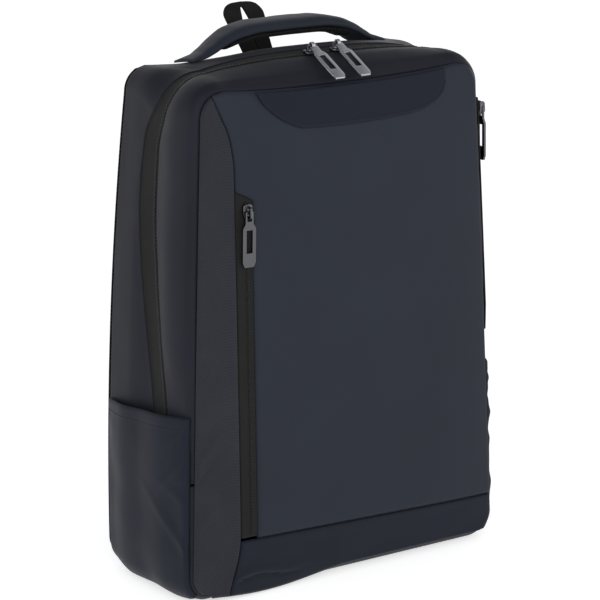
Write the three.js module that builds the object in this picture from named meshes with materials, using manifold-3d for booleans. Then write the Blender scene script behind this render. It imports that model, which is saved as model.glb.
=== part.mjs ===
// Laptop backpack standing on its base, in millimetres.
// +X is to the right seen from the front, the front faces -Y, +Z is up.
// The origin is the middle of the flat base.
import * as THREE from 'three';
import { mergeVertices } from 'three/addons/utils/BufferGeometryUtils.js';
import Module from 'manifold-3d';

const wasm = await Module();
wasm.setup();

// Body
const BODY_WIDTH = 298;
const BODY_HEIGHT = 441;
const BASE_DEPTH = 126;
const CROWN_DEPTH = 106;
const WALL = 2.4;
const SEAM_GAP = 0.4;
const FRONT_CROWN = 4.5;
const CROWN_RUN = 26;
const FRONT_PUFF = 4;
const PUFF_ROUND = 0.7;

// Front panels
const STRIP_SEAM = 111;
const POCKET_ZIP_WIDTH = 16;
const POCKET_ZIP_FOOT = 52;
const POCKET_ZIP_TOP = 333;
const POCKET_ZIP_SLOPE = 8;
const FOOT_SEAM = 46;
const FOOT_SEAM_FALL = 5;
const STRIP_POINT = 1.2;
const PATCH_LEFT = 88;
const PATCH_RIGHT = 104;
const PATCH_DEPTH = 34;
const PATCH_WALL = 1.6;

// Zips
const TAPE_SIDE = 19;
const TAPE_TOP = 11;
const TAPE_WALL = 1.4;
const TAPE_INSET = 2;
const COIL_WIDTH = 4;
const COIL_HEIGHT = 1.2;
const COIL_START = 0.74;
const SIDE_ZIP_WIDTH = 12;
const SIDE_ZIP_TOP = 382;
const SIDE_ZIP_LENGTH = 200;
const SIDE_ZIP_ACROSS = 0.9;
const SIDE_TAPE_SEAT = 0.6;
const SIDE_TAPE_WALL = 1;
const SIDE_COIL = 0.8;
const SLIDER_LENGTH = 13;
const SLIDER_WIDTH = 8.6;
const SLIDER_PLATE = 2.2;
const SLIDER_SEAT = 0.35;
const BRIDGE_WINDOW = 3.3;
const BRIDGE_SPAN = 6.4;
const BRIDGE_WIRE = 1.9;
const BRIDGE_CUT = 1.3;
const PULL_LENGTH = 45;
const PULL_WIDTH = 12.5;
const PULL_WALL = 2;
const PULL_BAR = 1.8;
const PULL_EYE = 7;
const PULL_NECK = 7.6;
const PULL_EYE_WALL = 1.6;
const RING_WALL = 1.5;
const RING_WIDTH = 3;
const SLIDER_SPACING = 26;
const SLIDER_SHIFT = 4;
const SLIDER_DROP = 9;
const POCKET_COIL = 5.5;
const POCKET_SLIDER_SEAT = 0.45;
const MAIN_PULL_TILT = 0.3;
const FLAT_PULL_TILT = 0.05;

// Side pockets
const POCKET_HEIGHT = 150;
const POCKET_BULGE = 9;
const POCKET_WALL = 2;
const POCKET_SEAT = 0.7;
const POCKET_SAG = 4;

// Back panel and straps
const FOAM_BASE = 3.5;
const FOAM_PAD = 4;
const AIR_CHANNEL = 26;
const PAD_LOW = 62;
const PAD_HIGH = 372;
const PAD_SIDE = 22;
const PAD_EDGE = 9;
const STRAP_WIDTH = 64;
const STRAP_THICK = 10;
const STRAP_SPACING = 104;
const STRAP_TOP = 396;
const STRAP_BOW = 34;
const YOKE_THICK = 9;
const YOKE_HALF = 92;
const YOKE_TOP_GAP = 1;
const STRAP_LENGTH = 232;
const STRAP_REACH = 32;
const WEBBING_WIDTH = 25;
const WEBBING_THICK = 1.5;
const LOCK_WIDTH = 33;
const LOCK_HEIGHT = 30;
const LOCK_THICK = 5;
const LOCK_BAR = 4;
const LOCK_DROP = 6;
const ANCHOR_HEIGHT = 34;
const ANCHOR_OUT = 122;
const ANCHOR_LENGTH = 34;
const ANCHOR_WIDTH = 40;
const TAIL_LENGTH = 62;
const BAR_PLAY = 0.35;

// Carry handle and hang loop
const HANDLE_HALF = 98;
const HANDLE_WIDTH = 34;
const HANDLE_THICK = 9;
const HANDLE_RISE = 18.5;
const HANDLE_BACK = 31;
const HANDLE_PAD_THICK = 5;
const HANDLE_PAD_HALF = 62;
const HANDLE_PAD_TAPER = 1.4;
const HANDLE_SEAT = 0.5;
const LOOP_WIDTH = 40;
const LOOP_FOOT = 28;
const LOOP_LENGTH = 50;
const LOOP_THICK = 3;
const LOOP_LEAN = 0.62;
const LOOP_EYE = 13;
const LOOP_SEAT = 8;
const LOOP_CROWN = 8;
const LOOP_SHOULDER = 0.62;
const LOOP_EYE_LOW = 0.42;
const LOOP_EYE_HIGH = 0.86;
const LOOP_EYE_TIP = 3.2;

// How far round the outline each stretch ends, from the middle of the top to the middle of the base.
const TOP_END = 0.20;
const TOP_CORNER_END = 0.27;
const SIDE_END = 0.74;
const LOW_CORNER_END = 0.80;
const GUSSET_END = 0.64;
const PUFF_FADE = 0.06;
const POCKET_FOOT = 0.775;
const POCKET_EDGE = 0.03;
const TAPE_WIDE_FROM = 0.34;
const ARCH_BREAK = 0.36;
const BASE_END = 0.96;
const BASE_GAP = 0.002;

// Outlines from the rear seam to the front seam, as shares of the body's half width and height.
const OUTLINE_COLUMNS = ['across', 'low', 'middle', 'high', 'top', 'drop', 'round', 'foot', 'lift'];
const OUTLINES = [
  [0.00, 1.054, 1.035, 0.966, 0.966, -0.008, 0.045, 0.045, 0.020],
  [0.25, 1.060, 1.040, 0.975, 0.986, 0.008, 0.055, 0.045, 0],
  [0.50, 1.045, 1.015, 0.970, 1.000, 0.022, 0.085, 0.045, 0],
  [0.75, 1.060, 1.030, 0.980, 0.992, 0.014, 0.075, 0.045, 0],
  [0.92, 1.058, 1.020, 0.972, 0.974, 0.000, 0.065, 0.045, 0.004],
  [1.00, 1.045, 0.990, 0.946, 0.948, -0.010, 0.050, 0.040, 0.018],
].map((row) => Object.fromEntries(row.map((value, k) => [OUTLINE_COLUMNS[k], value])));
const WIDTH_HEIGHTS = { low: 0.08, middle: 0.54, high: 0.86 };

// Middle of the main zip: place round the outline, and share of the depth.
const ZIP_ROUTE = [
  { along: 0.00, across: 0.720 },
  { along: 0.14, across: 0.700 },
  { along: 0.20, across: 0.655 },
  { along: 0.25, across: 0.610 },
  { along: 0.30, across: 0.500 },
  { along: 0.36, across: 0.490 },
  { along: 0.43, across: 0.540 },
  { along: 0.50, across: 0.620 },
  { along: 0.57, across: 0.700 },
  { along: 0.65, across: 0.720 },
];

// Seam between the side strip and the front panel: share of the height, share of the seam's distance.
const STRIP_CURVE = [
  { height: 0.015, out: 1.09 },
  { height: 0.12, out: 1.00 },
  { height: 0.81, out: 1.00 },
  { height: 0.87, out: 1.03 },
  { height: 0.92, out: 1.11 },
  { height: 0.97, out: 1.20 },
];

// Lower edge of the top patch: share of the way across, share of its depth.
const PATCH_CURVE = [
  { across: 0.00, drop: 0.02 },
  { across: 0.03, drop: 0.30 },
  { across: 0.08, drop: 0.55 },
  { across: 0.15, drop: 0.80 },
  { across: 0.24, drop: 0.96 },
  { across: 0.50, drop: 1.00 },
  { across: 0.80, drop: 0.96 },
  { across: 0.92, drop: 0.84 },
  { across: 0.98, drop: 0.62 },
  { across: 1.00, drop: 0.35 },
];

// Carry handle from the middle to the foot: share of the half length, of the rise, the thickness, the width.
const HANDLE_CURVE = [
  { out: 0.00, rise: 1.00, thick: 1.00, width: 1.00 },
  { out: 0.30, rise: 0.98, thick: 1.00, width: 1.00 },
  { out: 0.52, rise: 0.80, thick: 1.00, width: 0.98 },
  { out: 0.68, rise: 0.45, thick: 1.00, width: 0.94 },
  { out: 0.80, rise: 0.12, thick: 0.90, width: 0.90 },
  { out: 0.88, rise: 0.00, thick: 0.66, width: 0.88 },
  { out: 1.00, rise: 0.00, thick: 0.28, width: 0.84 },
];

// Shoulder strap from the yoke down: share of the way down, outward shift, stand-off and width as shares.
const STRAP_CURVE = [
  { down: 0.00, out: 0.00, bow: 0.00, width: 1.00 },
  { down: 0.10, out: 0.02, bow: 0.40, width: 1.00 },
  { down: 0.25, out: 0.08, bow: 0.84, width: 1.00 },
  { down: 0.42, out: 0.20, bow: 1.00, width: 1.00 },
  { down: 0.60, out: 0.40, bow: 0.90, width: 0.98 },
  { down: 0.80, out: 0.70, bow: 0.48, width: 0.90 },
  { down: 0.93, out: 0.93, bow: 0.10, width: 0.76 },
  { down: 1.00, out: 1.00, bow: 0.00, width: 0.56 },
];
// Right half of a slider's plate and of a pull, as shares of the half width and of the length.
const SLIDER_OUTLINE = [
  { wide: 0.60, along: 1.00 },
  { wide: 1.00, along: 0.84 },
  { wide: 1.00, along: 0.00 },
  { wide: 0.68, along: -0.80 },
  { wide: 0.40, along: -1.00 },
];
const PULL_OUTLINE = [
  { wide: 0.61, along: 0.20 },
  { wide: 1.00, along: 0.29 },
  { wide: 1.00, along: 0.91 },
  { wide: 0.70, along: 1.00 },
];
const PULL_SLOT = { wide: 0.46, near: 0.32, far: 0.74 };

const PI = Math.PI;
const lerp = (a, b, t) => a + (b - a) * t;
const clamp = (x, a, b) => Math.min(b, Math.max(a, x));
const vec = (x, y, z) => new THREE.Vector3(x, y, z);

// Smooth curve through the rows of a table.
function follow(table, key, value, x) {
  const last = table.length - 1;
  const at = clamp(x, table[0][key], table[last][key]);
  let i = 0;
  while (i < last - 1 && at > table[i + 1][key]) i += 1;
  const slope = (k) => (table[k + 1][value] - table[k][value]) / (table[k + 1][key] - table[k][key]);
  const tangent = (k) => {
    if (k === 0) return slope(0);
    if (k === last) return slope(last - 1);
    const before = slope(k - 1);
    const after = slope(k);
    return before * after > 0 ? (2 * before * after) / (before + after) : 0;
  };
  const span = table[i + 1][key] - table[i][key];
  const s = (at - table[i][key]) / span;
  const start = table[i][value] * (1 + 2 * s) * (1 - s) ** 2 + span * tangent(i) * s * (1 - s) ** 2;
  const end = table[i + 1][value] * s * s * (3 - 2 * s) + span * tangent(i + 1) * s * s * (s - 1);
  return start + end;
}

function outline(across) {
  const row = {};
  for (const name of OUTLINE_COLUMNS) row[name] = follow(OUTLINES, 'across', name, across);
  const corner = (row.top - row.drop) * BODY_HEIGHT;
  const round = row.round * BODY_HEIGHT;
  const foot = row.foot * BODY_HEIGHT;
  const base = row.lift * BODY_HEIGHT;
  return { ...row, crown: row.top * BODY_HEIGHT, fall: row.drop * BODY_HEIGHT, corner, round, foot, base };
}

// Half width of one outline at height z, through its three widths.
function halfWidth(row, z) {
  const { low, middle, high } = WIDTH_HEIGHTS;
  const s = z / BODY_HEIGHT;
  const a = ((s - middle) * (s - high)) / ((low - middle) * (low - high));
  const b = ((s - low) * (s - high)) / ((middle - low) * (middle - high));
  const c = ((s - low) * (s - middle)) / ((high - low) * (high - middle));
  return (BODY_WIDTH / 2) * (row.low * a + row.middle * b + row.high * c);
}

const depthAt = (z) => lerp(BASE_DEPTH, CROWN_DEPTH, z / BODY_HEIGHT);

// Point of the body's outer skin: along runs from -1 to 1 round the outline, across from rear to front.
function skin(along, across) {
  const row = outline(across);
  const a = Math.abs(along);
  const shoulder = halfWidth(row, row.corner - row.round);
  const hip = halfWidth(row, row.base + row.foot);
  let x = 0;
  let z = 0;
  if (a <= TOP_END) {
    const s = a / TOP_END;
    x = s * (shoulder - row.round);
    z = row.crown - row.fall * s ** 3;
  } else if (a <= TOP_CORNER_END) {
    const turn = ((a - TOP_END) / (TOP_CORNER_END - TOP_END)) * (PI / 2);
    x = shoulder - row.round * (1 - Math.sin(turn));
    z = row.corner - row.round * (1 - Math.cos(turn));
  } else if (a <= SIDE_END) {
    const s = (a - TOP_CORNER_END) / (SIDE_END - TOP_CORNER_END);
    z = lerp(row.corner - row.round, row.base + row.foot, s);
    x = halfWidth(row, z);
  } else if (a <= LOW_CORNER_END) {
    const turn = ((a - SIDE_END) / (LOW_CORNER_END - SIDE_END)) * (PI / 2);
    x = hip - row.foot * (1 - Math.cos(turn));
    z = row.base + row.foot * (1 - Math.sin(turn));
  } else {
    const s = (a - LOW_CORNER_END) / (1 - LOW_CORNER_END);
    x = (hip - row.foot) * (1 - s);
    z = row.base;
  }
  return vec(Math.sign(along) * x, (0.5 - across) * depthAt(z), z);
}

function skinNormal(along, across) {
  const step = 0.002;
  const side = along < 0 ? -1 : 1;
  const a = clamp(Math.abs(along), step, 1 - step) * side;
  const t = clamp(across, step, 1 - step);
  const round = skin(a + step, t).sub(skin(a - step, t));
  const deep = skin(a, t + step).sub(skin(a, t - step));
  return deep.cross(round).normalize();
}

function skinAt(along, across, lift) {
  return skin(along, across).addScaledVector(skinNormal(along, across), lift);
}

// Closed solid between two grids of points, grid[i][j], with walls round the rim.
function sheetSolid(outer, inner) {
  const rows = outer.length;
  const cols = outer[0].length;
  const points = [...outer.flat(), ...inner.flat()];
  const o = (i, j) => i * cols + j;
  const n = (i, j) => rows * cols + i * cols + j;
  const index = [];
  const quad = (a, b, c, d) => index.push(a, b, c, a, c, d);
  for (let i = 0; i < rows - 1; i += 1) {
    for (let j = 0; j < cols - 1; j += 1) {
      quad(o(i, j), o(i + 1, j), o(i + 1, j + 1), o(i, j + 1));
      quad(n(i, j), n(i, j + 1), n(i + 1, j + 1), n(i + 1, j));
    }
  }
  for (let i = 0; i < rows - 1; i += 1) {
    quad(o(i, 0), n(i, 0), n(i + 1, 0), o(i + 1, 0));
    quad(o(i, cols - 1), o(i + 1, cols - 1), n(i + 1, cols - 1), n(i, cols - 1));
  }
  for (let j = 0; j < cols - 1; j += 1) {
    quad(o(0, j), o(0, j + 1), n(0, j + 1), n(0, j));
    quad(o(rows - 1, j), n(rows - 1, j), n(rows - 1, j + 1), o(rows - 1, j + 1));
  }
  return facingOut(points, index);
}

// Closed solid through a row of rings with the same number of points.
function ringSolid(rings) {
  const count = rings[0].length;
  const points = rings.flat();
  const index = [];
  for (let i = 0; i < rings.length - 1; i += 1) {
    for (let j = 0; j < count; j += 1) {
      const k = (j + 1) % count;
      const a = i * count;
      const b = a + count;
      index.push(a + j, b + j, b + k, a + j, b + k, a + k);
    }
  }
  const last = (rings.length - 1) * count;
  for (let j = 1; j < count - 1; j += 1) {
    index.push(0, j, j + 1);
    index.push(last, last + j + 1, last + j);
  }
  return facingOut(points, index);
}

function facingOut(points, index) {
  let volume = 0;
  for (let i = 0; i < index.length; i += 3) {
    const [a, b, c] = [points[index[i]], points[index[i + 1]], points[index[i + 2]]];
    volume += a.dot(b.clone().cross(c));
  }
  const turned = volume > 0 ? index : index.slice().reverse();
  const geometry = new THREE.BufferGeometry();
  geometry.setAttribute('position', new THREE.Float32BufferAttribute(points.flatMap((p) => p.toArray()), 3));
  geometry.setIndex(turned);
  geometry.computeVertexNormals();
  return geometry;
}

const backpack = new THREE.Group();

const COLOURS = {
  shell: { color: 0x2b2e3a, roughness: 0.55, metalness: 0 },
  ribbed: { color: 0x3a3a40, roughness: 0.7, metalness: 0 },
  patch: { color: 0x20242e, roughness: 0.5, metalness: 0 },
  tape: { color: 0x23231f, roughness: 0.8, metalness: 0 },
  mesh: { color: 0x18181a, roughness: 0.95, metalness: 0 },
  webbing: { color: 0x161618, roughness: 0.85, metalness: 0 },
  plastic: { color: 0x141416, roughness: 0.4, metalness: 0 },
  metal: { color: 0x8a8a90, roughness: 0.25, metalness: 1 },
};

function add(name, geometry, finish, parent = backpack) {
  const mesh = new THREE.Mesh(geometry, new THREE.MeshStandardMaterial(COLOURS[finish]));
  mesh.name = name;
  parent.add(mesh);
  return mesh;
}

// Even steps between the ends of each stretch of the outline.
function stations(stretches) {
  const list = [stretches[0].from];
  for (const { from, to, steps } of stretches) {
    for (let k = 1; k <= steps; k += 1) list.push(lerp(from, to, k / steps));
  }
  return list;
}

const ARCH_HALF = stations([
  { from: 0, to: TOP_END, steps: 5 },
  { from: TOP_END, to: TOP_CORNER_END, steps: 4 },
  { from: TOP_CORNER_END, to: ARCH_BREAK, steps: 3 },
  { from: ARCH_BREAK, to: GUSSET_END, steps: 6 },
]);
const ARCH = [...ARCH_HALF.slice(1).reverse().map((a) => -a), ...ARCH_HALF];

const zipMiddle = (along) => follow(ZIP_ROUTE, 'along', 'across', Math.abs(along));
const zipRear = (along) => {
  const a = Math.abs(along);
  const width = lerp(TAPE_TOP, TAPE_SIDE, clamp((a - TOP_END) / (TAPE_WIDE_FROM - TOP_END), 0, 1));
  return zipMiddle(along) - width / depthAt(skin(along, zipMiddle(along)).z);
};
const zipFront = (along) => zipMiddle(along) + COIL_WIDTH / 2 / CROWN_DEPTH;
const GAP_SHARE = SEAM_GAP / CROWN_DEPTH;

// Band of the body's skin between two depth shares.
function band(list, from, to, steps, lift, wall) {
  const outer = [];
  const inner = [];
  for (const along of list) {
    const outerRow = [];
    const innerRow = [];
    for (let k = 0; k <= steps; k += 1) {
      const q = k / steps;
      const across = lerp(from(along), to(along), q);
      const rise = lift(along, q);
      outerRow.push(skinAt(along, across, rise));
      innerRow.push(skinAt(along, across, rise - wall));
    }
    outer.push(outerRow);
    inner.push(innerRow);
  }
  return sheetSolid(outer, inner);
}

// The pockets start where the side reaches their height.
const alongAtHeight = (z) => {
  let a = TOP_CORNER_END;
  while (skin(a, 0.5).z > z) a += 0.001;
  return a;
};
const POCKET_MOUTH = alongAtHeight(POCKET_HEIGHT);
const puff = (a, q) => FRONT_PUFF * Math.max(0, Math.sin(PI * clamp(q, 0, 1))) ** PUFF_ROUND
  * clamp((POCKET_MOUTH - Math.abs(a)) / PUFF_FADE, 0, 1)
  * clamp((Math.abs(a) - TOP_END) / PUFF_FADE, 0, 1);
add('rear_gusset', band(ARCH, () => 0, (a) => zipRear(a) - GAP_SHARE, 5, () => 0, WALL), 'shell');
add('front_gusset', band(ARCH, (a) => zipFront(a) + GAP_SHARE, () => 1, 4, puff, WALL), 'shell');
add('main_zip_tape', band(ARCH, zipRear, zipFront, 4,
  (a, q) => (q > COIL_START ? COIL_HEIGHT : 0) - TAPE_INSET + COIL_HEIGHT, TAPE_WALL), 'tape');

// Base: the lower band of both sides joined by the flat bottom.
const BASE_HALF = stations([
  { from: GUSSET_END + BASE_GAP, to: SIDE_END, steps: 2 },
  { from: SIDE_END, to: LOW_CORNER_END, steps: 4 },
  { from: LOW_CORNER_END, to: BASE_END, steps: 2 },
]);
const BASE_LIST = [...BASE_HALF.map((a) => -a), ...BASE_HALF.slice().reverse()];
const BASE_ACROSS = [0, 0.10, 0.25, 0.46, 0.62, 0.75, 0.90, 1];
add('base_gusset', sheetSolid(
  BASE_LIST.map((along) => BASE_ACROSS.map((across) => skin(along, across))),
  BASE_LIST.map((along) => BASE_ACROSS.map((across) => skinAt(along, across, -WALL))),
), 'shell');

// Side pockets: open at the top, sewn close to the side along the other three edges.
const POCKET_LIST = [
  ...stations([{ from: POCKET_MOUTH, to: GUSSET_END, steps: 3 }]),
  ...BASE_HALF.filter((a) => a < POCKET_FOOT),
];
const POCKET_ACROSS = [POCKET_EDGE, ...BASE_ACROSS.slice(1, -1), 1 - POCKET_EDGE];
const pocketSag = (along) => (Math.abs(along) - POCKET_MOUTH) / (POCKET_FOOT - POCKET_MOUTH);
const pocketLift = (along, across) => POCKET_SEAT + POCKET_BULGE
  * Math.sin((PI * (across - POCKET_EDGE)) / (1 - 2 * POCKET_EDGE)) * (1 - pocketSag(along) ** POCKET_SAG);
for (const [name, side] of [['side_pocket_left', -1], ['side_pocket_right', 1]]) {
  const grid = (extra) => POCKET_LIST.map((a) => POCKET_ACROSS.map(
    (across) => skinAt(side * a, across, pocketLift(a, across) + extra)));
  add(name, sheetSolid(grid(POCKET_WALL), grid(0)), 'shell');
}

// Half width of an outline at height z, round corners included.
function outlineHalf(row, z) {
  const shoulder = halfWidth(row, row.corner - row.round);
  const hip = halfWidth(row, row.base + row.foot);
  const up = z - (row.corner - row.round);
  const down = row.base + row.foot - z;
  if (up > 0) return shoulder - row.round + Math.sqrt(Math.max(0, row.round ** 2 - up ** 2));
  if (down > 0) return hip - row.foot + Math.sqrt(Math.max(0, row.foot ** 2 - down ** 2));
  return halfWidth(row, z);
}

function topLine(row, x) {
  const reach = halfWidth(row, row.corner - row.round) - row.round;
  return row.crown - row.fall * Math.min(1, Math.abs(x) / reach) ** 3;
}

// Panel over the front (side -1) or the back (side 1), between two upright and two level edges.
function facePanel({ left, right, low, high, ps, qs, side, lift, wall }) {
  const outer = [];
  const inner = [];
  for (const q of qs) {
    const outerRow = [];
    const innerRow = [];
    for (const p of ps) {
      let x = 0;
      let z = lerp(low(0), high(0), q);
      for (let k = 0; k < 6; k += 1) {
        x = lerp(left(z), right(z), p);
        z = lerp(low(x), high(x), q);
      }
      const y = depthAt(z) / 2 + SEAM_GAP + lift(x, z);
      innerRow.push(vec(x, side * y, z));
      outerRow.push(vec(x, side * (y + wall(x, z)), z));
    }
    outer.push(outerRow);
    inner.push(innerRow);
  }
  return sheetSolid(outer, inner);
}

const even = (n) => Array.from({ length: n + 1 }, (_, k) => k / n);
const eased = (n) => even(n).map((t) => (1 - Math.cos(PI * t)) / 2);
const FRONT = outline(1);
const REAR = outline(0);
const half = SEAM_GAP / 2;
const swell = (d) => 1 - Math.exp(-Math.max(0, d) / CROWN_RUN);
const frontCrown = (x, z) => FRONT_CROWN * swell(halfWidth(FRONT, z) - Math.abs(x))
  * swell(FRONT.crown - z) * swell(z - FRONT.base);
const stripSeam = (z) => -STRIP_SEAM * follow(STRIP_CURVE, 'height', 'out', z / BODY_HEIGHT);
const footSeam = (x) => FOOT_SEAM - FOOT_SEAM_FALL * (x / (BODY_WIDTH / 2));
const zipRight = stripSeam(POCKET_ZIP_TOP) + POCKET_ZIP_WIDTH;
const pocketZipHigh = (x) => POCKET_ZIP_TOP + POCKET_ZIP_SLOPE * ((zipRight - x) / POCKET_ZIP_WIDTH);
const onFront = { side: -1, lift: frontCrown, wall: () => WALL };
const base = () => FRONT.base;
const frontTop = (x) => topLine(FRONT, x);

// Height where the side strip has narrowed to a point.
let stripTop = FRONT.corner - FRONT.round;
while (outlineHalf(FRONT, stripTop) + stripSeam(stripTop) > STRIP_POINT) stripTop += 0.05;

// Heights of the rows that the strip and the front panel share along their curved seam.
const FOOT_ROWS = [0.03, 0.05, 0.07, 0.09];
const STRIP_ROWS = [0.12, 0.2, 0.3, 0.42, 0.54, 0.66, 0.76];
const CURVE_ROWS = [0.81, 0.84, 0.87, 0.895, 0.92];
const rowAt = (share, top) => (share * BODY_HEIGHT - FRONT.base) / (top - FRONT.base);
add('front_side_strip', facePanel({
  ...onFront,
  left: (z) => -outlineHalf(FRONT, z),
  right: (z) => stripSeam(z) - half,
  low: base,
  high: () => stripTop,
  ps: even(3),
  qs: [0, ...[...FOOT_ROWS, ...STRIP_ROWS, ...CURVE_ROWS].map((share) => rowAt(share, stripTop)), 1],
}), 'ribbed');

add('pocket_zip_tape', facePanel({
  ...onFront,
  left: (z) => stripSeam(z) + half,
  right: () => zipRight - half,
  low: () => POCKET_ZIP_FOOT,
  high: pocketZipHigh,
  ps: even(2),
  qs: even(8),
  lift: (x, z) => frontCrown(x, z) - TAPE_INSET / 2,
}), 'tape');

const panelLeft = (z) => {
  const bare = Math.max(stripSeam(z) + half, -outlineHalf(FRONT, z));
  const share = clamp((z - POCKET_ZIP_TOP - half) / POCKET_ZIP_SLOPE, 0, 1);
  return lerp(zipRight + half, bare, share);
};
const panelLow = (x) => footSeam(x) + half;
const panelRow = (z) => {
  const x = panelLeft(z);
  return (z - panelLow(x)) / (frontTop(x) - panelLow(x));
};
add('front_panel', facePanel({
  ...onFront,
  left: panelLeft,
  right: (z) => outlineHalf(FRONT, z),
  low: panelLow,
  high: frontTop,
  ps: eased(9),
  qs: [0, 0.04, 0.12, 0.24, 0.38, 0.52, 0.66, panelRow(POCKET_ZIP_TOP + half),
    panelRow(POCKET_ZIP_TOP + POCKET_ZIP_SLOPE + half),
    ...CURVE_ROWS.map((share) => panelRow(share * BODY_HEIGHT)), panelRow(stripTop), 1],
}), 'shell');

const bandHigh = (x) => footSeam(x) - half;
add('front_bottom_band', facePanel({
  ...onFront,
  left: (z) => stripSeam(z) + half,
  right: (z) => outlineHalf(FRONT, z),
  low: base,
  high: bandHigh,
  ps: eased(8),
  qs: [0, ...FOOT_ROWS.map((share) => rowAt(share, bandHigh(-STRIP_SEAM))), 1],
}), 'shell');

const patchWidth = PATCH_LEFT + PATCH_RIGHT;
const patchDrop = (x) => follow(PATCH_CURVE, 'across', 'drop', (x + PATCH_LEFT) / patchWidth);
add('front_top_patch', facePanel({
  ...onFront,
  left: () => -PATCH_LEFT,
  right: () => PATCH_RIGHT,
  low: (x) => frontTop(x) - PATCH_DEPTH * patchDrop(x),
  high: (x) => frontTop(x) - half,
  ps: eased(16),
  qs: even(3),
  lift: (x, z) => frontCrown(x, z) + WALL + SEAM_GAP,
  wall: () => PATCH_WALL,
}), 'patch');

// Back panel: foam with two raised pads and an air channel between them.
const ramp = (d) => clamp(d / PAD_EDGE, 0, 1);
const pads = (x, z) => FOAM_PAD * ramp(Math.abs(x) - AIR_CHANNEL / 2)
  * ramp(halfWidth(REAR, z) - PAD_SIDE - Math.abs(x)) * ramp(z - PAD_LOW) * ramp(PAD_HIGH - z);
const channel = AIR_CHANNEL / 2;
const bodyHalf = BODY_WIDTH / 2;
const padHalf = [0, channel, channel + PAD_EDGE, 0.3 * bodyHalf, 0.5 * bodyHalf, 0.7 * bodyHalf,
  bodyHalf - PAD_SIDE - PAD_EDGE, bodyHalf - PAD_SIDE, bodyHalf].map((x) => x / bodyHalf);
const backRow = (z) => (z - REAR.base) / (REAR.crown - REAR.base);
add('back_panel', facePanel({
  left: (z) => -outlineHalf(REAR, z),
  right: (z) => outlineHalf(REAR, z),
  low: () => REAR.base,
  high: (x) => topLine(REAR, x),
  ps: [...padHalf.slice(1).reverse().map((s) => 0.5 - s / 2), ...padHalf.map((s) => 0.5 + s / 2)],
  qs: [0, 0.012, 0.045, backRow(PAD_LOW), backRow(PAD_LOW + PAD_EDGE), 0.3, 0.5, 0.7,
    backRow(PAD_HIGH - PAD_EDGE), backRow(PAD_HIGH), 0.95, 0.982, 1],
  side: 1,
  lift: () => 0,
  wall: (x, z) => FOAM_BASE + pads(x, z),
}), 'mesh');
const backFace = (z) => depthAt(z) / 2 + SEAM_GAP + FOAM_BASE;

// Height of the top skin over a place between the seams.
function topSkin(x, y) {
  let z = BODY_HEIGHT;
  for (let k = 0; k < 4; k += 1) z = topLine(outline(0.5 - y / depthAt(z)), x);
  return z;
}

// Carry handle: a padded cover whose feet follow the top, and a mesh pad under its middle.
const handleRow = (out, key) => follow(HANDLE_CURVE, 'out', key, out);
function handleBed(x, y) {
  const rise = handleRow(Math.abs(x) / HANDLE_HALF, 'rise');
  return lerp(topSkin(x, y), topSkin(x, HANDLE_BACK), rise) + HANDLE_SEAT + HANDLE_RISE * rise;
}
const COVER_SECTION = [
  { side: -1.00, up: 0.00 },
  { side: -1.00, up: 0.45 },
  { side: -0.78, up: 0.86 },
  { side: -0.35, up: 1.00 },
  { side: 0.35, up: 1.00 },
  { side: 0.78, up: 0.86 },
  { side: 1.00, up: 0.45 },
  { side: 1.00, up: 0.00 },
  { side: 0.40, up: 0.00 },
  { side: -0.40, up: 0.00 },
];
const PAD_SECTION = [
  { side: -0.84, up: 1.00 },
  { side: 0.84, up: 1.00 },
  { side: 0.84, up: 0.50 },
  { side: 0.50, up: 0.00 },
  { side: -0.50, up: 0.00 },
  { side: -0.84, up: 0.50 },
];
const handleHalf = [0, 0.14, 0.28, 0.40, 0.50, 0.60, 0.68, 0.75, 0.82, 0.89, 1];
const padReach = HANDLE_PAD_HALF / HANDLE_HALF;
const coverStations = [...handleHalf.slice(1).reverse().map((s) => -s), ...handleHalf];
add('carry_handle', ringSolid(coverStations.map((s) => COVER_SECTION.map(({ side, up }) => {
  const x = s * HANDLE_HALF;
  const y = HANDLE_BACK + side * (HANDLE_WIDTH / 2) * handleRow(Math.abs(s), 'width');
  return vec(x, y, handleBed(x, y) + up * HANDLE_THICK * handleRow(Math.abs(s), 'thick'));
}))), 'shell');

const padTaper = (out) => Math.min(1, handleRow(out, 'rise') * HANDLE_PAD_TAPER);
const padThick = (x) => HANDLE_PAD_THICK * padTaper(Math.abs(x) / HANDLE_HALF);
const coverUnder = (x, y) => handleBed(x, y) - SEAM_GAP;
const padStations = coverStations.filter((s) => Math.abs(s) < padReach);
add('carry_handle_pad', ringSolid(padStations.map((s) => PAD_SECTION.map(({ side, up }) => {
  const x = s * HANDLE_HALF;
  const y = HANDLE_BACK + side * (HANDLE_WIDTH / 2) * handleRow(Math.abs(s), 'width');
  return vec(x, y, coverUnder(x, y) - (1 - up) * padThick(x));
}))), 'mesh');

// Hang loop: folded webbing that leans back from the top seam of the back panel.
const loopShape = new THREE.Shape();
loopShape.moveTo(-LOOP_FOOT / 2, 0);
loopShape.lineTo(LOOP_FOOT / 2, 0);
loopShape.lineTo(LOOP_WIDTH / 2, LOOP_LENGTH * LOOP_SHOULDER);
loopShape.quadraticCurveTo(LOOP_WIDTH / 2, LOOP_LENGTH, LOOP_CROWN / 2, LOOP_LENGTH);
loopShape.lineTo(-LOOP_CROWN / 2, LOOP_LENGTH);
loopShape.quadraticCurveTo(-LOOP_WIDTH / 2, LOOP_LENGTH, -LOOP_WIDTH / 2, LOOP_LENGTH * LOOP_SHOULDER);
loopShape.closePath();
const loopEye = new THREE.Path();
loopEye.moveTo(-LOOP_EYE / 2, LOOP_LENGTH * LOOP_EYE_LOW);
loopEye.lineTo(LOOP_EYE / 2, LOOP_LENGTH * LOOP_EYE_LOW);
loopEye.lineTo(LOOP_EYE_TIP / 2, LOOP_LENGTH * LOOP_EYE_HIGH);
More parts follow.
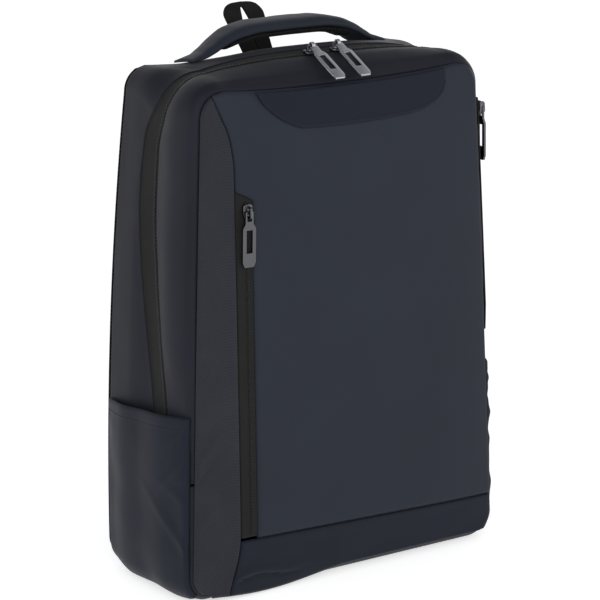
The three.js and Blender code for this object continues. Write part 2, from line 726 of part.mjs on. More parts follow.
loopEye.lineTo(-LOOP_EYE_TIP / 2, LOOP_LENGTH * LOOP_EYE_HIGH);
loopEye.closePath();
loopShape.holes.push(loopEye);
const PLATE_OPTIONS = { bevelEnabled: false, curveSegments: 5 };
const plate = (shape, depth) => new THREE.ExtrudeGeometry(shape, { ...PLATE_OPTIONS, depth });
const loop = add('hang_loop', plate(loopShape, LOOP_THICK), 'webbing');
loop.position.set(0, backFace(REAR.crown) + SEAM_GAP + LOOP_THICK, REAR.crown - LOOP_SEAT);
loop.rotation.x = PI / 2 - LOOP_LEAN;

// Yoke over the tops of the shoulder straps.
const yokeLow = () => STRAP_TOP + SEAM_GAP;
add('strap_yoke', facePanel({
  left: () => -YOKE_HALF,
  right: () => YOKE_HALF,
  low: yokeLow,
  high: () => REAR.crown - LOOP_SEAT - SEAM_GAP - YOKE_TOP_GAP,
  ps: even(6),
  qs: even(2),
  side: 1,
  lift: () => FOAM_BASE + SEAM_GAP,
  wall: () => YOKE_THICK,
}), 'shell');

// Shoulder straps. The back of each strap clears the pads, and it bows away from them for the arm.
const STRAP_RINGS = 14;
const webLift = FOAM_PAD + SEAM_GAP;
const lockPlane = webLift + WEBBING_THICK + BAR_PLAY + LOCK_THICK / 2;
const strapPoint = (side, down) => {
  const z = STRAP_TOP - down * STRAP_LENGTH;
  const rest = backFace(z) + webLift + STRAP_THICK / 2;
  const shift = follow(STRAP_CURVE, 'down', 'out', down) * STRAP_REACH;
  const bow = follow(STRAP_CURVE, 'down', 'bow', down) * STRAP_BOW;
  return vec(side * (STRAP_SPACING / 2 + shift), rest + bow, z);
};
const STRAP_SECTION = [
  { across: -1.00, up: -0.30 },
  { across: -0.86, up: -1.00 },
  { across: 0.86, up: -1.00 },
  { across: 1.00, up: -0.30 },
  { across: 1.00, up: 0.30 },
  { across: 0.86, up: 1.00 },
  { across: -0.86, up: 1.00 },
  { across: -1.00, up: 0.30 },
];

// Slant of the webbing from the end of the strap to its anchor, seen from behind.
const webTilt = (side) => {
  const end = strapPoint(side, 1);
  return Math.atan2(side * ANCHOR_OUT - end.x, end.z - ANCHOR_HEIGHT);
};

function strapGeometry(side) {
  const rings = [];
  for (let k = 0; k <= STRAP_RINGS; k += 1) {
    const down = k / STRAP_RINGS;
    const step = 0.004;
    const ahead = strapPoint(side, Math.min(1, down + step));
    const along = ahead.sub(strapPoint(side, Math.max(0, down - step))).normalize();
    if (k === 0) along.set(0, 0, -1);
    if (k === STRAP_RINGS) along.set(Math.sin(webTilt(side)), 0, -Math.cos(webTilt(side)));
    const wide = along.clone().cross(vec(0, 1, 0)).normalize();
    const out = wide.clone().cross(along).normalize();
    const width = (STRAP_WIDTH / 2) * follow(STRAP_CURVE, 'down', 'width', down);
    rings.push(STRAP_SECTION.map(({ across, up }) => strapPoint(side, down)
      .addScaledVector(wide, across * width)
      .addScaledVector(out, (up * STRAP_THICK) / 2)));
  }
  return ringSolid(rings);
}

const rect = (w0, w1, h0, h1) => {
  const shape = new THREE.Shape();
  shape.moveTo(w0, h0);
  shape.lineTo(w1, h0);
  shape.lineTo(w1, h1);
  shape.lineTo(w0, h1);
  shape.closePath();
  return shape;
};
const slot = (w0, w1, h0, h1) => {
  const path = new THREE.Path();
  path.moveTo(w0, h0);
  path.lineTo(w0, h1);
  path.lineTo(w1, h1);
  path.lineTo(w1, h0);
  path.closePath();
  return path;
};

// Ladder lock in its own plane: three bars across, two slots, its middle bar at the origin.
const barPitch = (LOCK_HEIGHT - LOCK_BAR) / 2;
const slotHalf = WEBBING_WIDTH / 2 + BAR_PLAY * 2;
const lockShape = rect(-LOCK_WIDTH / 2, LOCK_WIDTH / 2, -LOCK_HEIGHT / 2, LOCK_HEIGHT / 2);
lockShape.holes.push(slot(-slotHalf, slotHalf, LOCK_BAR / 2, barPitch - LOCK_BAR / 2));
lockShape.holes.push(slot(-slotHalf, slotHalf, LOCK_BAR / 2 - barPitch, -LOCK_BAR / 2));

// Closed ribbon profile that goes round a bar and ends in two straight legs.
function ribbonShape(barHeight, near, far, nearLeg, farLeg, up) {
  const reach = LOCK_THICK / 2 + BAR_PLAY;
  const outside = reach + WEBBING_THICK;
  const turn = barHeight + up * (LOCK_BAR / 2 + BAR_PLAY);
  const crown = turn + up * WEBBING_THICK;
  const shape = new THREE.Shape();
  shape.moveTo(near * reach, nearLeg);
  shape.lineTo(near * outside, nearLeg);
  shape.lineTo(near * outside, turn);
  shape.lineTo(near * reach, crown);
  shape.lineTo(far * reach, crown);
  shape.lineTo(far * outside, turn);
  shape.lineTo(far * outside, farLeg);
  shape.lineTo(far * reach, farLeg);
  shape.lineTo(far * reach, turn);
  shape.lineTo(near * reach, turn);
  shape.closePath();
  return shape;
}

// Turns a profile (away from the bag, up) into a ribbon as wide as the webbing.
const ribbonTurn = new THREE.Matrix4().makeBasis(vec(0, 1, 0), vec(0, 0, 1), vec(1, 0, 0));
function ribbon(shape) {
  const geometry = plate(shape, WEBBING_WIDTH);
  geometry.translate(0, 0, -WEBBING_WIDTH / 2);
  return geometry.applyMatrix4(ribbonTurn);
}

function flat(shape, depth, middle) {
  const geometry = plate(shape, depth);
  geometry.translate(0, 0, -depth / 2);
  geometry.rotateX(PI / 2);
  geometry.translate(0, middle, 0);
  return geometry;
}

for (const [word, side] of [['left', -1], ['right', 1]]) {
  add(`shoulder_strap_${word}`, strapGeometry(side), 'shell');

  const end = strapPoint(side, 1);
  const tilt = webTilt(side);
  const lockDrop = LOCK_HEIGHT / 2 + LOCK_DROP;
  const lockZ = end.z - Math.cos(tilt) * lockDrop;
  const rig = new THREE.Group();
  rig.position.set(end.x + Math.sin(tilt) * lockDrop, backFace(lockZ) + lockPlane, lockZ);
  rig.rotation.set(Math.atan((BASE_DEPTH - CROWN_DEPTH) / 2 / BODY_HEIGHT), -tilt, 0);
  backpack.add(rig);

  const anchorDrop = (lockZ - ANCHOR_HEIGHT) / Math.cos(tilt);
  add(`ladder_lock_${word}`, flat(lockShape, LOCK_THICK, 0), 'plastic', rig);
  const loopLeg = lockDrop - SEAM_GAP;
  add(`lock_loop_${word}`, ribbon(ribbonShape(barPitch, -1, 1, loopLeg, loopLeg, -1)), 'webbing', rig);
  add(`strap_webbing_${word}`, ribbon(ribbonShape(-barPitch, -1, 1, -anchorDrop - ANCHOR_LENGTH / 4,
    -barPitch - TAIL_LENGTH, 1)), 'webbing', rig);

  const tab = new THREE.Shape();
  tab.moveTo(-ANCHOR_WIDTH / 2, -anchorDrop - ANCHOR_LENGTH / 2);
  tab.lineTo(ANCHOR_WIDTH / 2, -anchorDrop - ANCHOR_LENGTH / 2);
  tab.lineTo(WEBBING_WIDTH / 2, -anchorDrop + ANCHOR_LENGTH / 2);
  tab.lineTo(-WEBBING_WIDTH / 2, -anchorDrop + ANCHOR_LENGTH / 2);
  tab.closePath();
  const tabThick = webLift - 2 * SEAM_GAP;
  add(`strap_anchor_${word}`, flat(tab, tabThick, SEAM_GAP + tabThick / 2 - lockPlane), 'shell', rig);
}

// Side zip on the right, sewn on the front gusset.
const sideZipLow = alongAtHeight(SIDE_ZIP_TOP - SIDE_ZIP_LENGTH);
const sideZipHigh = alongAtHeight(SIDE_ZIP_TOP);
const sideZipShare = SIDE_ZIP_WIDTH / 2 / CROWN_DEPTH;
const frontShare = (along, across) => {
  const start = zipFront(along) + GAP_SHARE;
  return (across - start) / (1 - start);
};
const onGusset = (along, across) => puff(along, frontShare(along, across));
const sideZipAcross = [-1, -0.35, 0, 0.35, 1].map((s) => SIDE_ZIP_ACROSS + s * sideZipShare);
const sideZipAlong = even(8).map((s) => lerp(sideZipHigh, sideZipLow, s));
const sideZipGrid = (extra) => sideZipAlong.map((a) => sideZipAcross.map(
  (t, k) => skinAt(a, t, onGusset(a, t) + extra + (k === 2 ? SIDE_COIL : 0))));
const sideTape = sheetSolid(sideZipGrid(SIDE_TAPE_SEAT + SIDE_TAPE_WALL), sideZipGrid(SIDE_TAPE_SEAT));
add('side_zip_tape', sideTape, 'tape');

// Solids that are joined by a boolean.
function toSolid(geometry) {
  const bare = geometry.clone();
  for (const name of Object.keys(bare.attributes)) {
    if (name !== 'position') bare.deleteAttribute(name);
  }
  const merged = mergeVertices(bare, 1e-4);
  return new wasm.Manifold(new wasm.Mesh({
    numProp: 3,
    vertProperties: new Float32Array(merged.attributes.position.array),
    triVerts: new Uint32Array(merged.index.array),
  }));
}

function fromSolid(solid) {
  const mesh = solid.getMesh();
  const geometry = new THREE.BufferGeometry();
  geometry.setAttribute('position', new THREE.BufferAttribute(new Float32Array(mesh.vertProperties), 3));
  geometry.setIndex(new THREE.BufferAttribute(new Uint32Array(mesh.triVerts), 1));
  geometry.computeVertexNormals();
  return geometry;
}

// Points of one side of an outline, then of the other side.
function mirrored(table, wide, long) {
  const right = table.map((row) => [row.wide * wide, row.along * long]);
  return [...right, ...right.slice().reverse().map(([x, y]) => [-x, y])];
}

function shapeThrough(points) {
  const shape = new THREE.Shape();
  points.forEach(([x, y], k) => (k === 0 ? shape.moveTo(x, y) : shape.lineTo(x, y)));
  shape.closePath();
  return shape;
}

// Slider: X across the zip, Y along it, Z away from the bag. The bridge stands on the plate.
function sliderGeometry() {
  const body = shapeThrough(mirrored(SLIDER_OUTLINE, SLIDER_WIDTH / 2, SLIDER_LENGTH / 2));
  const legEnd = BRIDGE_SPAN / 2 + BRIDGE_WIRE;
  const top = SLIDER_PLATE + BRIDGE_WINDOW + BRIDGE_WIRE;
  const arch = new THREE.Shape();
  arch.moveTo(-legEnd, SLIDER_PLATE / 2);
  arch.lineTo(-BRIDGE_SPAN / 2, SLIDER_PLATE / 2);
  arch.lineTo(-BRIDGE_SPAN / 2, SLIDER_PLATE + BRIDGE_WINDOW);
  arch.lineTo(BRIDGE_SPAN / 2, SLIDER_PLATE + BRIDGE_WINDOW);
  arch.lineTo(BRIDGE_SPAN / 2, SLIDER_PLATE / 2);
  arch.lineTo(legEnd, SLIDER_PLATE / 2);
  arch.lineTo(legEnd, top - BRIDGE_CUT);
  arch.lineTo(legEnd - BRIDGE_CUT, top);
  arch.lineTo(BRIDGE_CUT - legEnd, top);
  arch.lineTo(-legEnd, top - BRIDGE_CUT);
  arch.closePath();
  const bridge = plate(arch, BRIDGE_WIRE);
  bridge.translate(0, 0, -BRIDGE_WIRE / 2);
  bridge.applyMatrix4(ribbonTurn);
  return fromSolid(toSolid(plate(body, SLIDER_PLATE)).add(toSolid(bridge)));
}

// Outline of a pull that runs along -Y from its pivot. The neck starts at the given distance.
function pullShape(start) {
  const body = mirrored(PULL_OUTLINE, PULL_WIDTH / 2, -PULL_LENGTH);
  const shape = shapeThrough([[PULL_NECK / 2, -start], ...body, [-PULL_NECK / 2, -start]].reverse());
  const slotWide = PULL_SLOT.wide * PULL_WIDTH / 2;
  shape.holes.push(slot(-slotWide, slotWide, -PULL_SLOT.far * PULL_LENGTH, -PULL_SLOT.near * PULL_LENGTH));
  return shape;
}

// Flat eye: the bridge of a slider stands in the eye, and the end bar lies in the bridge's window.
function flatPull() {
  const shape = pullShape(-PULL_BAR / 2);
  const eyeHalf = PULL_NECK / 2 - PULL_EYE_WALL;
  shape.holes.push(slot(-eyeHalf, eyeHalf, -PULL_EYE, -PULL_BAR / 2));
  const geometry = plate(shape, PULL_WALL);
  geometry.translate(0, 0, -PULL_WALL / 2);
  return geometry;
}

// Turned eye: a ring round the bar of the bridge, which lies along X here.
function ringPull() {
  const inner = BRIDGE_WIRE * Math.SQRT1_2 + SLIDER_SEAT;
  const ring = new THREE.Shape();
  const sides = 12;
  const circle = (path, radius) => {
    for (let k = 0; k < sides; k += 1) {
      const turn = (2 * PI * (k + 0.5)) / sides;
      const at = [radius * Math.cos(turn), radius * Math.sin(turn)];
      if (k === 0) path.moveTo(...at);
      else path.lineTo(...at);
    }
    path.closePath();
  };
  circle(ring, inner + RING_WALL);
  const bore = new THREE.Path();
  circle(bore, inner / Math.cos(PI / sides));
  ring.holes.push(bore);
  const eye = plate(ring, RING_WIDTH);
  eye.translate(0, 0, -RING_WIDTH / 2);
  eye.rotateY(PI / 2);
  const blade = plate(pullShape(inner + RING_WALL / 2), PULL_WALL);
  blade.translate(0, 0, -PULL_WALL / 2);
  return fromSolid(toSolid(eye).add(toSolid(blade)));
}

// Group at a seat on the bag, with its own X, Y and Z.
function seatGroup(at, across, along, out) {
  const group = new THREE.Group();
  group.position.copy(at);
  group.quaternion.setFromRotationMatrix(new THREE.Matrix4().makeBasis(across, along, out));
  backpack.add(group);
  return group;
}

const sliderSolid = sliderGeometry();

function flatZipper(name, at, along, out, tilt) {
  const group = seatGroup(at, along.clone().cross(out), along, out);
  add(`${name}_slider`, sliderSolid, 'metal', group);
  const pull = add(`${name}_pull`, flatPull(), 'metal', group);
  pull.position.z = SLIDER_PLATE + BRIDGE_WINDOW / 2;
  pull.rotation.x = tilt;
}

// Front pocket slider, near the top of its zip.
const tapeOut = (x, z) => depthAt(z) / 2 + SEAM_GAP + frontCrown(x, z) - TAPE_INSET / 2 + WALL;
const tapeFace = (x, z) => vec(x, -tapeOut(x, z), z);
function faceAxes(place, x, z) {
  const step = 4;
  const up = place(x, z + step).sub(place(x, z - step)).normalize();
  const over = place(x + step, z).sub(place(x - step, z));
  const out = over.cross(up).normalize();
  return { up, out };
}
const pocketX = zipRight - POCKET_COIL;
const pocketZ = POCKET_ZIP_TOP - SLIDER_DROP;
const pocketAxes = faceAxes(tapeFace, pocketX, pocketZ);
flatZipper('pocket_zip', tapeFace(pocketX, pocketZ).addScaledVector(pocketAxes.out, POCKET_SLIDER_SEAT),
  pocketAxes.up, pocketAxes.out, FLAT_PULL_TILT);

// Side slider, near the top of its zip.
const sideAlong = alongAtHeight(SIDE_ZIP_TOP - SLIDER_DROP);
const sideFace = (a) => skinAt(
  a, SIDE_ZIP_ACROSS, onGusset(a, SIDE_ZIP_ACROSS) + SIDE_TAPE_SEAT + SIDE_TAPE_WALL + SIDE_COIL);
const sideStep = 0.008;
const sideUp = sideFace(sideAlong - sideStep).sub(sideFace(sideAlong + sideStep)).normalize();
const sideOut = skinNormal(sideAlong, SIDE_ZIP_ACROSS);
sideOut.addScaledVector(sideUp, -sideOut.dot(sideUp)).normalize();
const sideSeat = sideFace(sideAlong).addScaledVector(sideOut, SLIDER_SEAT);
flatZipper('side_zip', sideSeat, sideUp, sideOut, FLAT_PULL_TILT);

// Two sliders head to head on the top of the main zip, their pulls laid over the front edge.
for (const [word, way] of [['left', -1], ['right', 1]]) {
  const across = zipMiddle(0);
  const row = outline(across);
  const reach = halfWidth(row, row.corner - row.round) - row.round;
  const alongZip = ((SLIDER_SHIFT + (way * SLIDER_SPACING) / 2) / reach) * TOP_END;
  const out = skinNormal(alongZip, across);
  out.x = 0;
  out.normalize();
  const at = skinAt(alongZip, across, 2 * COIL_HEIGHT - TAPE_INSET).addScaledVector(out, SLIDER_SEAT);
  const along = vec(way, 0, 0);
  const group = seatGroup(at, along.clone().cross(out), along, out);
  add(`main_zip_slider_${word}`, sliderSolid, 'metal', group);
  const pivot = at.clone().addScaledVector(out, SLIDER_PLATE + BRIDGE_WINDOW + BRIDGE_WIRE / 2);
  const right = vec(1, 0, 0);
  const pullGroup = seatGroup(pivot, right, out.clone().cross(right), out);
  const pull = add(`main_zip_pull_${word}`, ringPull(), 'metal', pullGroup);
  pull.rotation.x = MAIN_PULL_TILT;
}

export default backpack;
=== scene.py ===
"""Laptop backpack on a pale floor. Shapes are worked out in millimetres, in the model's own frame."""
import math
import bpy
import numpy as np
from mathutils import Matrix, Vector


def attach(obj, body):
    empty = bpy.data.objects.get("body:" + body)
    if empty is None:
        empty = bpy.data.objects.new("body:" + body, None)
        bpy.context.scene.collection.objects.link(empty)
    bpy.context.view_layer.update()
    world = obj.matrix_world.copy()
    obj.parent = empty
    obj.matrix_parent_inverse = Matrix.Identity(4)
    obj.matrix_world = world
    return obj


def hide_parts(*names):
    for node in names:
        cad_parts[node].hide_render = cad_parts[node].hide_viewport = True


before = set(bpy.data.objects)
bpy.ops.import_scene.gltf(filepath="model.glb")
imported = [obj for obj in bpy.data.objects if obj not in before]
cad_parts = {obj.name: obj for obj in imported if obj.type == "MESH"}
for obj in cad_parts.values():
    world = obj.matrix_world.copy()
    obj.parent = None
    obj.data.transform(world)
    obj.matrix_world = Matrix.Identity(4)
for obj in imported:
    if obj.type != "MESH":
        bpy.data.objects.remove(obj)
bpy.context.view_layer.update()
MM = 0.001

# Camera: the photograph's angle, and where its frame is centred on the bag.
CAMERA_AZIMUTH = 36.0
CAMERA_ELEVATION = 14.3
CAMERA_DISTANCE = 2480.0
CAMERA_TARGET = (0.0, -4.0, 215.0)
CAMERA_FOCAL = 2936.0
CAMERA_CENTRE = (306.0, 311.5)
PHOTO_SIZE = 600.0

# Sizes of the bag.
BODY_WIDTH = 298.0
BODY_HEIGHT = 441.0
BASE_DEPTH = 126.0
CROWN_DEPTH = 106.0
WALL = 2.4
SEAM_GAP = 0.4
FRONT_CROWN = 4.5
CROWN_RUN = 26.0
FRONT_PUFF = 4.0
LOW_SAG = 6.5
SAG_MIDDLE = -85.0
SAG_REACH = 88.0
SAG_FADE = 40.0
PUFF_ROUND = 0.7
STRIP_SEAM = 111.0
POCKET_ZIP_WIDTH = 16.0
POCKET_ZIP_FOOT = 52.0
POCKET_ZIP_TOP = 333.0
POCKET_ZIP_SLOPE = 8.0
FOOT_SEAM = 46.0
FOOT_SEAM_FALL = 5.0
PATCH_LEFT = 88.0
PATCH_RIGHT = 104.0
PATCH_DEPTH = 34.0
PATCH_WALL = 1.6
TAPE_SIDE = 19.0
TAPE_TOP = 11.0
TAPE_WALL = 1.4
TAPE_INSET = 2.0
COIL_WIDTH = 4.0
COIL_HEIGHT = 1.2
SIDE_ZIP_WIDTH = 12.0
SIDE_ZIP_TOP = 382.0
SIDE_ZIP_LENGTH = 200.0
SIDE_ZIP_ACROSS = 0.9
SIDE_TAPE_SEAT = 0.6
SIDE_TAPE_WALL = 1.0
POCKET_HEIGHT = 156.0
MOUTH_TILT = 8.0
MOUTH_LEVEL = 0.6
POCKET_BULGE = 9.0
POCKET_WALL = 2.0
POCKET_SEAT = 0.7
POCKET_COIL = 5.5
FOAM_BASE = 3.5
FOAM_PAD = 4.0
AIR_CHANNEL = 26.0
PAD_LOW = 62.0
PAD_HIGH = 372.0
PAD_SIDE = 22.0
PAD_EDGE = 9.0
STRAP_WIDTH = 64.0
STRAP_THICK = 10.0
STRAP_SPACING = 104.0
STRAP_TOP = 396.0
STRAP_BOW = 34.0
STRAP_LENGTH = 232.0
STRAP_REACH = 32.0
YOKE_THICK = 9.0
YOKE_HALF = 92.0
YOKE_TOP_GAP = 1.0
HANDLE_HALF = 98.0
HANDLE_WIDTH = 34.0
HANDLE_THICK = 9.0
HANDLE_RISE = 18.5
HANDLE_BACK = 31.0
HANDLE_PAD_THICK = 5.0
HANDLE_PAD_HALF = 62.0
HANDLE_PAD_TAPER = 1.4
HANDLE_SEAT = 0.5
LOOP_WIDTH = 40.0
LOOP_LENGTH = 58.0
LOOP_THICK = 3.0
LOOP_LEAN = 0.62
LOOP_SEAT = 8.0
ANCHOR_HEIGHT = 34.0
ANCHOR_OUT = 122.0
TAPE_TUCK = 1.2 / CROWN_DEPTH
STRIP_TIP = 1.2
STRAP_SEAM = 0.80
STRAP_MESH_WALL = 0.9
STRAP_MESH_SEAT = 0.985
STRAP_STITCH_SEAT = 0.80
STRAP_START = 0.05
STRAP_TURN = 0.93
STRAP_TURN_RUN = 0.07
YOKE_END = 6.0

# Small parts: stitches and zip teeth, the teeth as shares of their coil.
BAR_SIDES = 6
STITCH_PITCH = 3.3
STITCH_LENGTH = 2.5
STITCH_RADIUS = 0.3
STITCH_RISE = 0.35
TOOTH_LENGTH = 0.62
TOOTH_OFFSET = 0.19
TOOTH_RISE = 0.3
COIL_SINK = 0.8
FINE_COIL_LIFT = 0.1
# width, height and pitch of the teeth; the fine coil is on the two smaller zips
MAIN_COIL = (COIL_WIDTH, 1.3, 1.5)
FINE_COIL = (3.2, 1.0, 1.3)
# how far ahead and behind a small part looks for the way its path runs
STITCH_REACH = 0.6
TOOTH_REACH = 1.0

# Floor and light, in metres and watts.
FLOOR_REACH = 30.0
FLOOR_DROP = -0.0005
FLOOR_GLOW = 0.62
LIGHT_AIM = (0, 0, 0.24)
# name, place, width and height, power
LIGHTS = [
    ("key", (-0.9, -1.6, 1.1), (1.2, 1.2), 12),
    ("fill", (1.5, -1.4, 0.9), (1.2, 1.4), 4),
    ("left", (-1.8, 0.4, 0.7), (1.0, 1.2), 3.2),
]

# Places round the outline, from the middle of the top to the middle of the base.
TOP_END = 0.20
TOP_CORNER_END = 0.27
SIDE_END = 0.74
LOW_CORNER_END = 0.80
GUSSET_END = 0.64
PUFF_FADE = 0.06
POCKET_FOOT = 0.775
POCKET_EDGE = 0.03
TAPE_WIDE_FROM = 0.34
BASE_END = 0.96

# across, low, middle, high, top, drop, round, foot, lift
OUTLINES = np.array([
    [0.00, 1.054, 1.035, 0.966, 0.966, -0.008, 0.045, 0.045, 0.020],
    [0.25, 1.060, 1.040, 0.975, 0.986, 0.008, 0.055, 0.045, 0],
    [0.50, 1.045, 1.015, 0.970, 1.000, 0.022, 0.085, 0.045, 0],
    [0.75, 1.060, 1.030, 0.980, 0.992, 0.014, 0.075, 0.045, 0],
    [0.92, 1.058, 1.020, 0.972, 0.974, 0.000, 0.065, 0.045, 0.004],
    [1.00, 1.045, 0.990, 0.946, 0.948, -0.010, 0.050, 0.040, 0.018],
])
OUTLINE_NAMES = ("low", "middle", "high", "top", "drop", "round", "foot", "lift")
LOW, MIDDLE, HIGH = 0.08, 0.54, 0.86

# along the outline, depth share of the main zip's middle
ZIP_ROUTE = np.array([[0.00, 0.720], [0.14, 0.700], [0.20, 0.655], [0.25, 0.610], [0.30, 0.500],
                      [0.36, 0.490], [0.43, 0.540], [0.50, 0.620], [0.57, 0.700], [0.65, 0.720]])
# height share, how far left the strip's seam is as a share of STRIP_SEAM
STRIP_CURVE = np.array([[0.015, 1.09], [0.12, 1.00], [0.81, 1.00],
                        [0.87, 1.03], [0.92, 1.11], [0.97, 1.20]])
# share of the patch's width, share of its depth
PATCH_CURVE = np.array([[0.00, 0.02], [0.03, 0.30], [0.08, 0.55], [0.15, 0.80], [0.24, 0.96],
                        [0.50, 1.00], [0.80, 0.96], [0.92, 0.84], [0.98, 0.62], [1.00, 0.35]])
# share of the half length, rise, thick, width
HANDLE_CURVE = np.array([[0.00, 1.00, 1.00, 1.00], [0.30, 0.98, 1.00, 1.00], [0.52, 0.80, 1.00, 0.98],
                         [0.68, 0.45, 1.00, 0.94], [0.80, 0.12, 0.90, 0.90], [0.88, 0.00, 0.66, 0.88],
                         [1.00, 0.00, 0.28, 0.84]])
# down, out, bow, width
STRAP_CURVE = np.array([[0.00, 0.00, 0.00, 1.00], [0.10, 0.02, 0.40, 1.00], [0.25, 0.08, 0.84, 1.00],
                        [0.42, 0.20, 1.00, 1.00], [0.60, 0.40, 0.90, 0.98], [0.80, 0.70, 0.48, 0.90],
                        [0.93, 0.93, 0.10, 0.76], [1.00, 1.00, 0.00, 0.56]])


def fixed(value):
    """A border of a grid that stays at one value."""
    return lambda t: value + 0 * t


def follow(table, x, column=1):
    """Smooth curve through a table's rows, without overshoot."""
    xs, ys = table[:, 0], table[:, column]
    step = np.diff(xs)
    slope = np.diff(ys) / step
    before, after = slope[:-1], slope[1:]
    product = before * after
    inner = np.where(product > 0, 2 * product / np.where(product > 0, before + after, 1), 0)
    tangent = np.concatenate([slope[:1], inner, slope[-1:]])
    at = np.clip(x, xs[0], xs[-1])
    i = np.clip(np.searchsorted(xs, at, side="right") - 1, 0, len(xs) - 2)
    s = (at - xs[i]) / step[i]
    start = ys[i] * (1 + 2 * s) * (1 - s) ** 2 + step[i] * tangent[i] * s * (1 - s) ** 2
    return start + ys[i + 1] * s * s * (3 - 2 * s) + step[i] * tangent[i + 1] * s * s * (s - 1)


def lerp(a, b, t):
    return a + (b - a) * t


def smooth(x):
    t = np.clip(x, 0, 1)
    return t * t * (3 - 2 * t)


def unit(v):
    return v / np.maximum(np.linalg.norm(v, axis=-1, keepdims=True), 1e-9)


def outline(across):
    row = {name: follow(OUTLINES, across, k + 1) for k, name in enumerate(OUTLINE_NAMES)}
    row["corner"] = (row["top"] - row["drop"]) * BODY_HEIGHT
    row["crown"] = row["top"] * BODY_HEIGHT
    row["fall"] = row["drop"] * BODY_HEIGHT
    row["base"] = row["lift"] * BODY_HEIGHT
    row["round"] = row["round"] * BODY_HEIGHT
    row["foot"] = row["foot"] * BODY_HEIGHT
    return row


def half_width(row, z):
    s = z / BODY_HEIGHT
    a = (s - MIDDLE) * (s - HIGH) / ((LOW - MIDDLE) * (LOW - HIGH))
    b = (s - LOW) * (s - HIGH) / ((MIDDLE - LOW) * (MIDDLE - HIGH))
    c = (s - LOW) * (s - MIDDLE) / ((HIGH - LOW) * (HIGH - MIDDLE))
    return BODY_WIDTH / 2 * (row["low"] * a + row["middle"] * b + row["high"] * c)


def depth_at(z):
    return lerp(BASE_DEPTH, CROWN_DEPTH, z / BODY_HEIGHT)


def skin(along, across):
    """Point of the body's outer skin: along from -1 to 1 round the outline, across from rear to front."""
    along, across = np.broadcast_arrays(np.asarray(along, float), np.asarray(across, float))
    row = outline(across)
    a = np.abs(along)
    shoulder = half_width(row, row["corner"] - row["round"])
    hip = half_width(row, row["base"] + row["foot"])
    s = np.clip(a / TOP_END, 0, 1)
    x = s * (shoulder - row["round"])
    z = row["crown"] - row["fall"] * s ** 3
    turn = np.clip((a - TOP_END) / (TOP_CORNER_END - TOP_END), 0, 1) * math.pi / 2
    x = np.where(a > TOP_END, shoulder - row["round"] * (1 - np.sin(turn)), x)
    z = np.where(a > TOP_END, row["corner"] - row["round"] * (1 - np.cos(turn)), z)
    s = np.clip((a - TOP_CORNER_END) / (SIDE_END - TOP_CORNER_END), 0, 1)
    height = lerp(row["corner"] - row["round"], row["base"] + row["foot"], s)
    x = np.where(a > TOP_CORNER_END, half_width(row, height), x)
    z = np.where(a > TOP_CORNER_END, height, z)
    turn = np.clip((a - SIDE_END) / (LOW_CORNER_END - SIDE_END), 0, 1) * math.pi / 2
    x = np.where(a > SIDE_END, hip - row["foot"] * (1 - np.cos(turn)), x)
    z = np.where(a > SIDE_END, row["base"] + row["foot"] * (1 - np.sin(turn)), z)
    s = np.clip((a - LOW_CORNER_END) / (1 - LOW_CORNER_END), 0, 1)
    x = np.where(a > LOW_CORNER_END, (hip - row["foot"]) * (1 - s), x)
    z = np.where(a > LOW_CORNER_END, row["base"], z)
    return np.stack([np.sign(along) * x, (0.5 - across) * depth_at(z), z], -1)


def skin_normal(along, across):
    step = 0.002
    along, across = np.broadcast_arrays(np.asarray(along, float), np.asarray(across, float))
    side = np.where(along < 0, -1.0, 1.0)
    a = np.clip(np.abs(along), step, 1 - step) * side
    t = np.clip(across, step, 1 - step)
    round_ = skin(a + step, t) - skin(a - step, t)
    deep = skin(a, t + step) - skin(a, t - step)
    return unit(np.cross(deep, round_))


def outline_half(row, z):
    shoulder = half_width(row, row["corner"] - row["round"])
    hip = half_width(row, row["base"] + row["foot"])
    up = z - (row["corner"] - row["round"])
    down = row["base"] + row["foot"] - z
    top = shoulder - row["round"] + np.sqrt(np.maximum(0, row["round"] ** 2 - up ** 2))
    foot = hip - row["foot"] + np.sqrt(np.maximum(0, row["foot"] ** 2 - down ** 2))
    return np.where(up > 0, top, np.where(down > 0, foot, half_width(row, z)))


def top_line(row, x):
    reach = half_width(row, row["corner"] - row["round"]) - row["round"]
    return row["crown"] - row["fall"] * np.minimum(1, np.abs(x) / reach) ** 3


def noise(p, size, seed=0):
    """Smooth noise from -1 to 1 over points in millimetres."""
    q = np.asarray(p, float) / size + seed * 13.7
    i = np.floor(q).astype(np.int64)
    f = q - i
    f = f * f * (3 - 2 * f)
    total = np.zeros(q.shape[:-1])
    for corner in range(2 ** q.shape[-1]):
        weight = np.ones(q.shape[:-1])
        key = np.full(q.shape[:-1], seed * 7919 + 17, np.int64)
        for k in range(q.shape[-1]):
            bit = corner >> k & 1
            weight = weight * (f[..., k] if bit else 1 - f[..., k])
            key = key * 73856093 + (i[..., k] + bit) * (19349663 + 83492 * k)
            key = key ^ (key >> 13)
        key = (key * 1274126177) & 0x7FFFFFFF
        total += weight * (key / 0x3FFFFFFF - 1)
    return total


def arc(points, axis=0):
    """Distance along a row of points."""
    step = np.linalg.norm(np.diff(points, axis=axis), axis=-1)
    start = np.zeros_like(np.take(step, [0], axis=axis))
    return np.concatenate([start, np.cumsum(step, axis=axis)], axis=axis)


def even_arc(place, start, end, step):
    """Parameters between start and end, evenly spaced along place(t)."""
    t = np.linspace(start, end, 900)
    s = arc(place(t))
    count = max(2, int(round(s[-1] / step)))
    return np.interp(np.linspace(0, s[-1], count + 1), s, t)


# Materials

